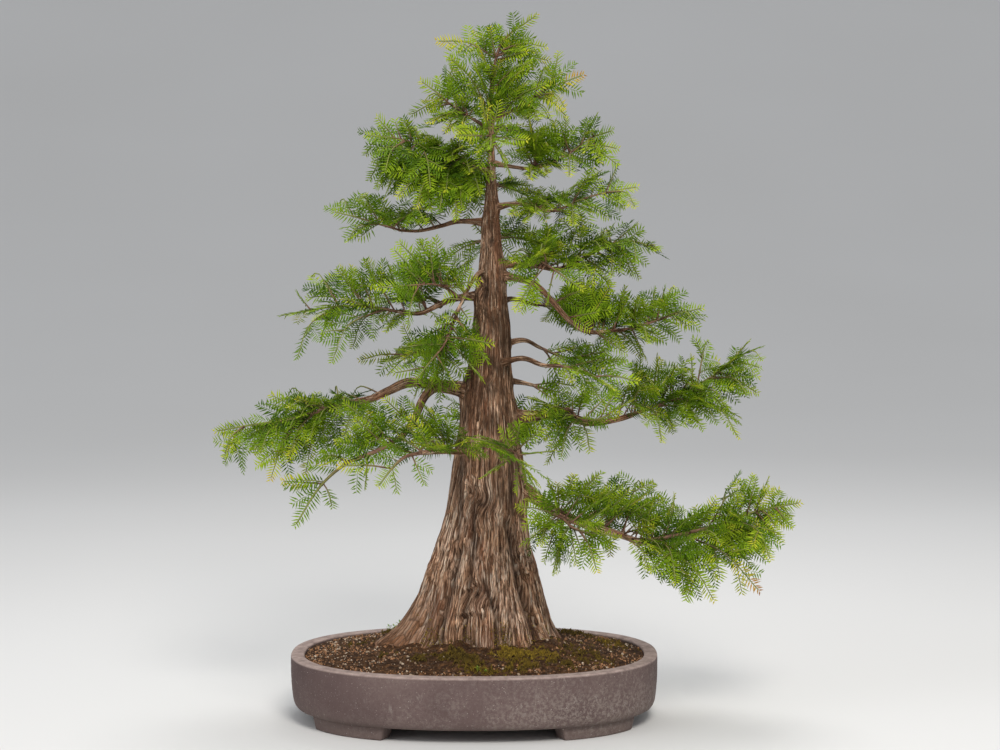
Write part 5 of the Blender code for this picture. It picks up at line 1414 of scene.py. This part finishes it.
def make_needle():
    """One needle, its foot at the origin and its tip a metre up: three sided, widest below the middle."""
    deselect()
    bpy.ops.mesh.primitive_cone_add(vertices=3, radius1=0.5, radius2=0.0, depth=1 - NEEDLE_WIDEST,
                                    end_fill_type="TRIFAN", location=(0, 0, (1 + NEEDLE_WIDEST) / 2))
    needle = bpy.context.object
    bpy.ops.object.transform_apply(location=True, rotation=False, scale=False)
    foot = min(needle.data.vertices, key=lambda vertex: vertex.co.xy.length + vertex.co.z)
    foot.co.z = 0.0
    return taken_shape(needle)


def make_grain():
    """One grain of grit, a small broken stone."""
    deselect()
    bpy.ops.mesh.primitive_ico_sphere_add(subdivisions=1, radius=1.0)
    grain = bpy.context.object
    stray, changes = GRAIN_BROKEN
    for vertex in grain.data.vertices:
        vertex.co *= 1 + stray * noise.noise(vertex.co * changes)
    return taken_shape(grain)


def make_tuft():
    """One tuft of moss, a pointed cone on the ground."""
    deselect()
    bpy.ops.mesh.primitive_cone_add(vertices=3, radius1=0.5, radius2=0.0, depth=1.0, location=(0, 0, 0.5))
    tuft = bpy.context.object
    bpy.ops.object.transform_apply(location=True, rotation=False, scale=False)
    return taken_shape(tuft)


def taken_shape(model):
    """The points and triangles of a small model, which then goes."""
    mesh = model.data
    points = np.array([vertex.co[:] for vertex in mesh.vertices])
    faces = np.array([list(face.vertices) for face in mesh.polygons])
    bpy.data.objects.remove(model)
    bpy.data.meshes.remove(mesh)
    return points, faces


def copied(name, shape, places, axes, tints):
    """A piece of many copies of one shape; axes holds each copy's own x, y and z, with its size in them."""
    points, faces = shape
    count, corners = len(places), len(points)
    spread = np.einsum("pk,nkc->npc", points, axes) + places[:, None, :]
    index = faces[None] + (np.arange(count) * corners)[:, None, None]
    piece = own_piece(name, spread.reshape(-1, 3).tolist(), index.reshape(-1, 3).tolist())
    write_values(piece, "tint", np.repeat(tints, corners))
    cells = math.ceil(math.sqrt(count))
    own = math.ceil(math.sqrt(len(faces)))
    corner = np.array([[0.1, 0.1], [0.9, 0.1], [0.1, 0.9]])
    inside = np.array([(corner + (f % own, f // own)) / own for f in range(len(faces))])
    number = np.arange(count)
    cell = np.stack((number % cells, number // cells), 1)[:, None, None, :]
    write_map(piece, (inside[None] + cell) / cells)
    return piece


def unit(vectors):
    return vectors / np.maximum(np.linalg.norm(vectors, axis=-1, keepdims=True), 1e-9)


def feather(foot, course, normal, length, tint, tip_tint, bend, droop, luck):
    """The needles and the axis of one branchlet: places, headings, widths' directions, sizes and tints."""
    course, normal, foot = np.array(course), np.array(normal), np.array(foot)
    side = unit(np.cross(course, normal))
    normal = unit(np.cross(side, course))

    def on_axis(share):
        share = np.asarray(share)[:, None]
        drop = np.array((0, 0, -droop * length)) * share**2
        return foot + course * length * share + side * bend * length * share**2 + drop

    pairs = max(round(length / NEEDLE_STEP), FEWEST_PAIRS)
    count = 2 * pairs
    share = np.repeat((np.arange(pairs) + PAIR_PLACE) / pairs, 2)
    hand = np.tile((1.0, -1.0), pairs)
    share = np.clip(share + hand * PAIR_STAGGER / pairs, *NEEDLE_ENDS)
    place = on_axis(share)
    run = unit(on_axis(share + AXIS_PROBE) - on_axis(share - AXIS_PROBE))
    at_foot, at_tip = NEEDLE_LEAN
    lean = at_foot + (at_tip - at_foot) * share**TURN_POWER + luck.normal(0, LEAN_STRAY, count)
    heading = run * np.cos(lean)[:, None] + side * (hand * np.sin(lean))[:, None]
    heading = unit(heading + normal * luck.normal(*NEEDLE_LIFT, count)[:, None])
    size = NEEDLE_LENGTH * min(1.0, SHORT_SHARE[0] + length / SHORT_SHARE[1])
    size = size * np.minimum(FOOT_SHARE[0] + share * FOOT_SHARE[1], 1.0)
    size = size * np.minimum(1.0, TIP_SHARE[0] + (1 - share) * TIP_SHARE[1])
    size *= luck.uniform(*NEEDLE_LUCK, count)
    tints = tint + (tip_tint - tint) * share**TURN_POWER + luck.normal(0, NEEDLE_TINT_STRAY, count)
    joints = on_axis(np.linspace(0, 1, AXIS_PARTS + 1))
    spans = joints[1:] - joints[:-1]
    axis_size = np.linalg.norm(spans, axis=1) * AXIS_OVER
    more, most = AXIS_TINT
    parts = (count, AXIS_PARTS)
    return (np.vstack((place, joints[:-1] - spans * AXIS_BACK)), np.vstack((heading, unit(spans))),
            np.repeat(normal[None], count + AXIS_PARTS, 0), np.concatenate((size, axis_size)),
            np.repeat((NEEDLE_WIDTH, AXIS_WIDTH), parts), np.repeat((NEEDLE_THICK, AXIS_WIDTH), parts),
            np.concatenate((tints, np.full(AXIS_PARTS, min(tint + more, most)))))


def sprig_tint(name, number, young, draw):
    """A branchlet's tints at its foot and at its tip."""
    fresh = sum(shift for start, shift in PAD_TINTS if name.startswith(start))
    least, most = TINT_LIMITS
    # Inner branchlets are darker: partly their own older green, partly painted shade of the pad's depth
    tint = BASE_TINT + fresh + YOUTH_AND_SHADE_TINT * young + draw.gauss(0, SPRIG_TINT_STRAY)
    tint = min(max(tint, least), most)
    turned = TURNED_TIPS.get((name, number), 0.0)
    if young > TURNED_YOUNG and turned:
        return 0.5 * (tint + turned), turned
    if draw.random() < YELLOW_SHARE:
        return tint + YELLOW_FOOT, draw.uniform(*YELLOW_TIP)
    more, more_young, most = TIP_TINT
    return tint, min(tint + more + more_young * young, most)


def make_pad(name, pad, shape, material, draw, luck):
    parts = []
    for number, (way, *_, side) in enumerate(pad):
        inner = BARE_FOOT if number else STEM_BARE * way_length(way)
        bend, droop = 0.0, 0.0
        for foot, course, normal, length, young in sprigs_on(way, side, draw, inner):
            tints = sprig_tint(name, number, young, draw)
            parts.append(feather(foot, course, normal, length, *tints, bend, droop, luck))
            bend, droop = draw.uniform(-SPRIG_SWEEP, SPRIG_SWEEP), SPRIG_DROOP
    places, headings, normals, sizes, widths, thicks, tints = (np.concatenate(part) for part in zip(*parts))
    wide = unit(np.cross(headings, normals))
    flat = np.cross(wide, headings)
    axes = np.stack((wide * widths[:, None], flat * thicks[:, None], headings * sizes[:, None]), 1)
    needles = copied("needles_" + name, shape, places, axes, tints)
    dress(needles, material, "foliage", "spray_" + name)


def on_oval(inset, angle):
    """The point on the tray's oval at a bearing, this far inside its outer edge."""
    power = 2 / POT_SQUARENESS
    x = math.copysign(abs(math.cos(angle)) ** power, math.cos(angle))
    y = math.copysign(abs(math.sin(angle)) ** power, math.sin(angle))
    return POT_X + (POT_HALF_LENGTH - inset) * x, (POT_HALF_DEPTH - inset) * y


def make_tray_wall():
    """The tray's underside, drawn up along the wall, over the rim and down to the floor inside."""
    deselect()
    bpy.ops.mesh.primitive_circle_add(vertices=POT_SIDES, radius=1.0, fill_type="NGON")
    tray = bpy.context.object
    inset, z = TRAY_PROFILE[0]
    for i, vertex in enumerate(tray.data.vertices):
        vertex.co = (*on_oval(inset, 2 * math.pi * i / POT_SIDES), z)
    start_edit()
    for (inset, z), (inset_next, z_next) in zip(TRAY_PROFILE, TRAY_PROFILE[1:]):
        bpy.ops.mesh.extrude_region_move(TRANSFORM_OT_translate={"value": (0, 0, z_next - z)})
        bpy.ops.transform.resize(value=((POT_HALF_LENGTH - inset_next) / (POT_HALF_LENGTH - inset),
                                        (POT_HALF_DEPTH - inset_next) / (POT_HALF_DEPTH - inset), 1),
                                 center_override=(POT_X, 0, z_next))
    end_edit()
    tray.name = "tray"
    return tray


def make_foot(bearing):
    """A curved strip foot: a grid bent to the oval, drawn down to the table, with its edges rounded."""
    deselect()
    bpy.ops.mesh.primitive_grid_add(x_subdivisions=FOOT_STEPS, y_subdivisions=1, size=1.0)
    foot = bpy.context.object
    top = FOOT_HEIGHT + FOOT_SUNK
    for vertex in foot.data.vertices:
        across, over = vertex.co.x + 0.5, vertex.co.y + 0.5
        angle = math.radians(bearing + (across * 2 - 1) * FOOT_HALF_SPAN)
        vertex.co = (*on_oval(FOOT_INSET + FOOT_WIDTH * over, angle), top)
    start_edit()
    bpy.ops.mesh.extrude_region_move(TRANSFORM_OT_translate={"value": (0, 0, -top)})
    middle = on_oval(FOOT_INSET + FOOT_WIDTH / 2, math.radians(bearing))
    bpy.ops.transform.resize(value=(FOOT_LEAN, FOOT_LEAN, 1), center_override=(*middle, 0))
    end_edit()
    bevel = foot.modifiers.new("rounding", "BEVEL")
    bevel.width, bevel.segments, bevel.limit_method = FOOT_ROUNDING, FOOT_ROUNDING_PARTS, "ANGLE"
    apply_modifiers(foot)
    return foot


def drill_drains(tray):
    for side in (-1, 1):
        deselect()
        bpy.ops.mesh.primitive_cylinder_add(vertices=DRILL_SIDES, radius=DRAIN_RADIUS, depth=DRILL_DEPTH,
                                            location=(POT_X + side * DRAIN_X, 0, FLOOR_Z))
        drill = bpy.context.object
        hole = tray.modifiers.new("drain", "BOOLEAN")
        hole.operation, hole.solver, hole.object = "DIFFERENCE", "EXACT", drill
        apply_modifiers(tray)
        bpy.data.objects.remove(drill)


def make_tray(material):
    tray = make_tray_wall()
    drill_drains(tray)
    feet = [make_foot(bearing) for bearing in FOOT_BEARINGS]
    for vertex in tray.data.vertices:
        if vertex.co.z > FLOOR_Z + EVEN_HIGH or abs(vertex.co.x - POT_X) > EVEN_HALF:
            stray = sum(share * noise.noise(vertex.co * changes) for changes, share in THROWN_WAVES)
            away = Vector((vertex.co.x - POT_X, vertex.co.y, 0)).normalized()
            vertex.co += away * stray * THROWN_UNEVEN
    deselect()
    for piece in (*feet, tray):
        piece.select_set(True)
    bpy.context.view_layer.objects.active = tray
    bpy.ops.object.join()
    smooth(tray, TRAY_SMOOTH)
    dress(tray, material, "clay", "pot")


def patches(x, y, changes, layer):
    """Noise over the ground, with so many changes a metre and a pattern of its own for each layer."""
    return noise.noise(Vector((x * changes, y * changes, layer)))


def soil_top(x, y):
    """Height of the mound, from the tray's edge up to the root base, and up between the roots."""
    across = abs((x - POT_X) / (POT_HALF_LENGTH - SOIL_INSET)) ** POT_SQUARENESS
    over = abs(y / (POT_HALF_DEPTH - SOIL_INSET)) ** POT_SQUARENESS
    share = share_of((1 - (across + over) ** (1 / POT_SQUARENESS)) / MOUND_SHARE)
    left = share_of((POT_X - x) / (POT_HALF_LENGTH - SOIL_INSET))
    top = MOUND_Z + (MOUND_LEFT_Z - MOUND_Z) * left
    angle = math.atan2(y, x - ROOT_X)
    off = max(math.hypot(x - ROOT_X, y) - trunk_radius(SOIL_LINE_Z, angle), 0.0)
    mean, variation, changes = CREEP_PATCHES
    patchy = mean + variation * patches(x, y, changes, 7)
    creep = SOIL_CREEP * max(patchy, 0.0) * math.exp(-((off / CREEP_REACH) ** 2))
    heaped = sum(high * math.exp(-((x - cx) ** 2 + (y - cy) ** 2) / radius**2)
                 for cx, cy, radius, high in SOIL_HEAPS)
    return SOIL_EDGE_Z + (top - SOIL_EDGE_Z) * math.sin(share * math.pi / 2) + creep + heaped


def soil_lumps(x, y):
    return sum(size * patches(x, y, changes, changes) for changes, size in SOIL_LUMPS)


def in_trunk(x, y, clear=0.0):
    return off_trunk(x, y, SOIL_LINE_Z) < clear


def make_soil(material):
    """The bed: down the tray's wall and over its floor, up to a lumpy mound that meets the roots."""
    centre, _ = between(TRUNK, SOIL_LINE_Z)
    rings = []
    for inset, z in SOIL_WALL:
        rings.append([(*on_oval(inset, 2 * math.pi * i / SOIL_SIDES), z) for i in range(SOIL_SIDES)])
    for step in range(SOIL_RINGS):
        share = step / (SOIL_RINGS - 1)
        ring = []
        for i in range(SOIL_SIDES):
            angle = 2 * math.pi * i / SOIL_SIDES
            edge = Vector(on_oval(SOIL_INSET + SOIL_GAP, angle))
            reach = trunk_radius(SOIL_LINE_Z, angle) - UNDER_ROOTS
            inner = Vector((centre + reach * math.cos(angle), reach * math.sin(angle)))
            x, y = edge.lerp(inner, share)
            lumps = soil_lumps(x, y) * min(1.0, WALL_LUMPS + share * LUMPS_GROW)
            ring.append((x, y, soil_top(x, y) + lumps))
        rings.append(ring)
    points = [point for ring in rings for point in ring]
    points += [(POT_X, 0, SOIL_BOTTOM_Z), (centre, 0, MOUND_Z - MIDDLE_SUNK)]
    soil = own_piece("soil_bed", points, skin_faces(len(rings), SOIL_SIDES))
    write_map(soil, wrapped_map(len(rings), SOIL_SIDES))
    soil.data.shade_smooth()
    dress(soil, material, "grit", "soil")


def moss_cover(x, y):
    """How thick the moss is at a point, from 0 at a ragged edge to 1, and how yellow."""
    cover, yellow, weight = 0.0, 0.0, 1e-6
    for cx, cy, half, depth, thick, tone in MOSS:
        near = math.exp(-(((x - cx) / half) ** 2) - ((y - cy) / depth) ** 2)
        cover += near * thick
        yellow += near * tone
        weight += near
    broken = sum(size * patches(x, y, changes, layer) for changes, layer, size in MOSS_BREAKS)
    return share_of(cover + broken - MOSS_EDGE), yellow / weight


def random_turns(count, luck):
    """Random rotations, as rows of each copy's own x, y and z."""
    first = unit(luck.normal(0, 1, (count, 3)))
    second = unit(np.cross(first, luck.normal(0, 1, (count, 3))))
    return np.stack((first, second, np.cross(first, second)), 1)


def grit_stays(name, x, y, reach, draw):
    """Whether a grain that falls here stays: each kind has its own ground, in clumps and off the moss."""
    count, _, share, (more_left, power), (more_right, right_from), more_rim = GRIT[name]
    leftward = share_of((LEFT_FROM - x) / LEFT_WIDTH)
    rimward = max(reach - RIM_FROM, 0.0) / (1 - RIM_FROM)
    keep = share + more_left * leftward**power + more_right * (x > right_from) + more_rim * rimward
    mean, variation, changes = CLUMPS
    clump = patches(x, y, changes, count * 0.01)
    if draw.random() > keep * (mean + variation * clump):
        return False
    least, by_chance = GRIT_IN_MOSS
    return moss_cover(x, y)[0] <= by_chance * draw.random() + least


def make_grit(shape, materials, draw, luck):
    for name, (count, (least, most), *_) in GRIT.items():
        places = []
        while len(places) < count:
            angle, reach = draw.uniform(0, 2 * math.pi), math.sqrt(draw.random())
            edge_x, edge_y = on_oval(SOIL_INSET + GRIT_INSET, angle)
            x, y = POT_X + (edge_x - POT_X) * reach, edge_y * reach
            if not in_trunk(x, y, GRIT_OFF_ROOTS) and grit_stays(name, x, y, reach, draw):
                places.append((x, y, soil_top(x, y) + soil_lumps(x, y) + GRIT_RISE))
        sizes = least + (most - least) * luck.uniform(0, 1, (count, 1)) ** 2
        sizes = sizes * luck.uniform(*GRAIN_STRETCH, (count, 3))
        axes = random_turns(count, luck) * sizes[:, :, None]
        grains = copied(name, shape, np.array(places), axes, luck.uniform(0, 1, count))
        dress(grains, materials[name], "grit")


def bed_tufts(draw):
    """Ragged cushions of moss on the soil: each tuft's place, upward direction and tint."""
    tufts = []
    least_tint, more_yellow, stray = MOSS_TINT
    while len(tufts) < MOSS_TUFTS:
        cx, cy, half, depth, *_ = draw.choice(MOSS)
        x, y = draw.gauss(cx, TUFT_SPREAD * half), draw.gauss(cy, TUFT_SPREAD * depth)
        cover, yellow = moss_cover(x, y)
        edge = math.hypot((x - POT_X) / (POT_HALF_LENGTH - TUFT_INSET), y / (POT_HALF_DEPTH - TUFT_INSET))
        if cover < LEAST_COVER or in_trunk(x, y, -TUFT_UNDER_ROOTS) or edge > 1:
            continue
        lumps = 0.5 + 0.5 * patches(x, y, CUSHIONS, 3)
        rise = MOSS_HEIGHT * min(1.0, cover * COVER_GROWS) * (CUSHION_RISE[0] + CUSHION_RISE[1] * lumps)
        place = (x, y, soil_top(x, y) + soil_lumps(x, y) + rise - TUFT_SUNK)
        tint = more_yellow * yellow * (CUSHION_TINT[0] + lumps * CUSHION_TINT[1])
        tufts.append((place, (0, 0, 1), least_tint + tint + draw.gauss(0, stray)))
    return tufts


def root_tufts(draw):
    """Moss that climbs the roots, in the same form."""
    tufts = []
    for _ in range(TRUNK_TUFTS):
        angle = math.radians(draw.gauss(*draw.choice(TUFT_BEARINGS)))
        z = SOIL_LINE_Z - TUFT_FOOT + abs(draw.gauss(0, TUFT_CLIMB))
        centre, half = between(TRUNK, z)
        reach = trunk_radius(z, angle)
        reach += bark_relief(angle, z - (reach - half), half)[0] - TUFT_IN_BARK
        x, y = math.cos(angle), math.sin(angle)
        tufts.append(((centre + reach * x, reach * y, z), (x, y, TUFT_RISE), draw.uniform(*TRUNK_TUFT_TINT)))
    return tufts


def make_moss(shape, material, draw, luck):
    places, upward, tints = zip(*bed_tufts(draw), *root_tufts(draw))
    count = len(places)
    upward = unit(unit(np.array(upward, float)) + luck.normal(0, TUFT_LEAN, (count, 3)))
    side = unit(np.cross(upward, luck.normal(0, 1, (count, 3))))
    wide, tall = luck.uniform(*TUFT_WIDTH, (count, 1)), luck.uniform(*TUFT_HEIGHT, (count, 1))
    axes = np.stack((side * wide, np.cross(upward, side) * wide, upward * tall), 1)
    moss = copied("moss", shape, np.array(places), axes, np.clip(tints, 0, 1))
    dress(moss, material, "grit")


def make_seedlings(shape, material, draw):
    """Each seedling is a stalk with leaves in a spiral, all made from one narrow shape."""
    places, axes = [], []
    lowest, step = LEAF_PLACE
    for x, y, height in SEEDLINGS:
        foot = np.array((x, y, soil_top(x, y)))
        places.append(foot)
        axes.append(((STALK_WIDTH, 0, 0), (0, STALK_WIDTH, 0), (0, 0, height)))
        for leaf in range(LEAVES):
            turn = leaf * LEAF_TURN + draw.uniform(-LEAF_TURN_STRAY, LEAF_TURN_STRAY)
            out = unit(np.array((math.cos(turn), math.sin(turn), draw.uniform(*LEAF_RISE))))
            side = unit(np.cross(out, (0, 0, 1.0)))
            places.append(foot + (0, 0, height * (lowest + step * leaf)))
            length = height * draw.uniform(*LEAF_LENGTH)
            across = np.cross(side, out)
            axes.append((side * length * LEAF_WIDTH, across * length * LEAF_THICK, out * length))
    leaves = copied("seedlings", shape, np.array(places), np.array(axes), np.full(len(places), 0.5))
    dress(leaves, material, "foliage")


def make_floor():
    """A pale floor that sweeps up behind into a backdrop."""
    deselect()
    bpy.ops.mesh.primitive_grid_add(x_subdivisions=4, y_subdivisions=60, size=FLOOR_SIZE)
    floor = bpy.context.object
    floor.name = "floor"
    for vertex in floor.data.vertices:
        beyond = max(vertex.co.y - FLOOR_BENDS_AT, 0.0)
        vertex.co.z = FLOOR_BEND * beyond**2
    floor.data.shade_smooth()
    paper = Finish("pale_paper", 0.9, 0.2)
    tone = paper.noise(paper.places(), 0.6, 2)
    floor.data.materials.append(paper.done(paper.ramp(tone, (0.3, (0.700, 0.690, 0.670)),
                                                      (0.7, (0.730, 0.722, 0.705)))))


def softbox(name, place, aim, size, watts, colour=(1.0, 1.0, 1.0)):
    light = bpy.data.lights.new(name, "AREA")
    light.shape, light.size, light.energy, light.color = "DISK", size, watts, colour
    lamp = bpy.data.objects.new(name, light)
    lamp.location = place
    lamp.rotation_euler = (Vector(aim) - Vector(place)).to_track_quat("-Z", "Y").to_euler()
    bpy.context.scene.collection.objects.link(lamp)


def make_studio():
    world = bpy.data.worlds.new("studio")
    world.use_nodes = True
    world.node_tree.nodes["Background"].inputs["Color"].default_value = (0.92, 0.95, 1.0, 1.0)
    world.node_tree.nodes["Background"].inputs["Strength"].default_value = 0.55
    bpy.context.scene.world = world
    softbox("key", (0.5, -2.5, 2.5), (0, 0, 0.4), 1.2, 75, (1.0, 0.97, 0.93))
    softbox("fill", (-2.3, -1.6, 1.4), (0, 0, 0.35), 1.8, 18, (0.93, 0.96, 1.0))
    softbox("top", (0.2, 0.9, 2.6), (0, 0, 0.4), 1.4, 26)
    camera = bpy.data.cameras.new("camera")
    camera.lens = CAMERA_LENS
    viewer = bpy.data.objects.new("camera", camera)
    viewer.location = CAMERA_PLACE
    viewer.rotation_euler = (math.pi / 2 - CAMERA_PITCH, 0, 0)
    bpy.context.scene.collection.objects.link(viewer)
    bpy.context.scene.camera = viewer
    bpy.context.scene.view_settings.view_transform = "Standard"


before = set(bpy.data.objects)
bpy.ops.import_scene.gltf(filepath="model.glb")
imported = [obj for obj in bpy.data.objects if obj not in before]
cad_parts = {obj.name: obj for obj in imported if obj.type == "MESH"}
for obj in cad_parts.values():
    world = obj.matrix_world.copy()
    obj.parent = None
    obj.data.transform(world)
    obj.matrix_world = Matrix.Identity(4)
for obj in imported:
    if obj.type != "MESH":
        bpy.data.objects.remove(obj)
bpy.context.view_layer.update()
draw, luck = random.Random(SEED), np.random.default_rng(SEED)
make_studio()
make_floor()
make_tray(unglazed_clay())
for node in ("drain_screen_left", "drain_screen_right"):
    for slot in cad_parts[node].material_slots:
        slot.material = drain_mesh_plastic()
make_soil(dark_soil())
bark = furrowed_bark()
dress(make_trunk(), bark, "bark", "wood")
dress(make_limbs(), bark, "bark")
pads = {name: pad_ways(name, draw) for name in SPRAYS}
dress(make_twigs(pads), twig_bark(), "bark")
needle, green = make_needle(), soft_needles()
for name in SPRAYS:
    make_pad(name, pads[name], needle, green, draw, luck)
make_grit(make_grain(), {
    "grit_dark": grit("dark_grit", (0.014, 0.008, 0.005), (0.095, 0.050, 0.026), (0.140, 0.080, 0.045)),
    "grit_rust": grit("rust_grit", (0.110, 0.042, 0.017), (0.400, 0.185, 0.080), (0.470, 0.290, 0.165)),
    "grit_pale": grit("pale_grit", (0.280, 0.190, 0.120), (0.620, 0.520, 0.410), (0.330, 0.215, 0.125)),
}, draw, luck)
make_moss(make_tuft(), living_moss(), draw, luck)
make_seedlings(needle, seedling_leaf(), draw)
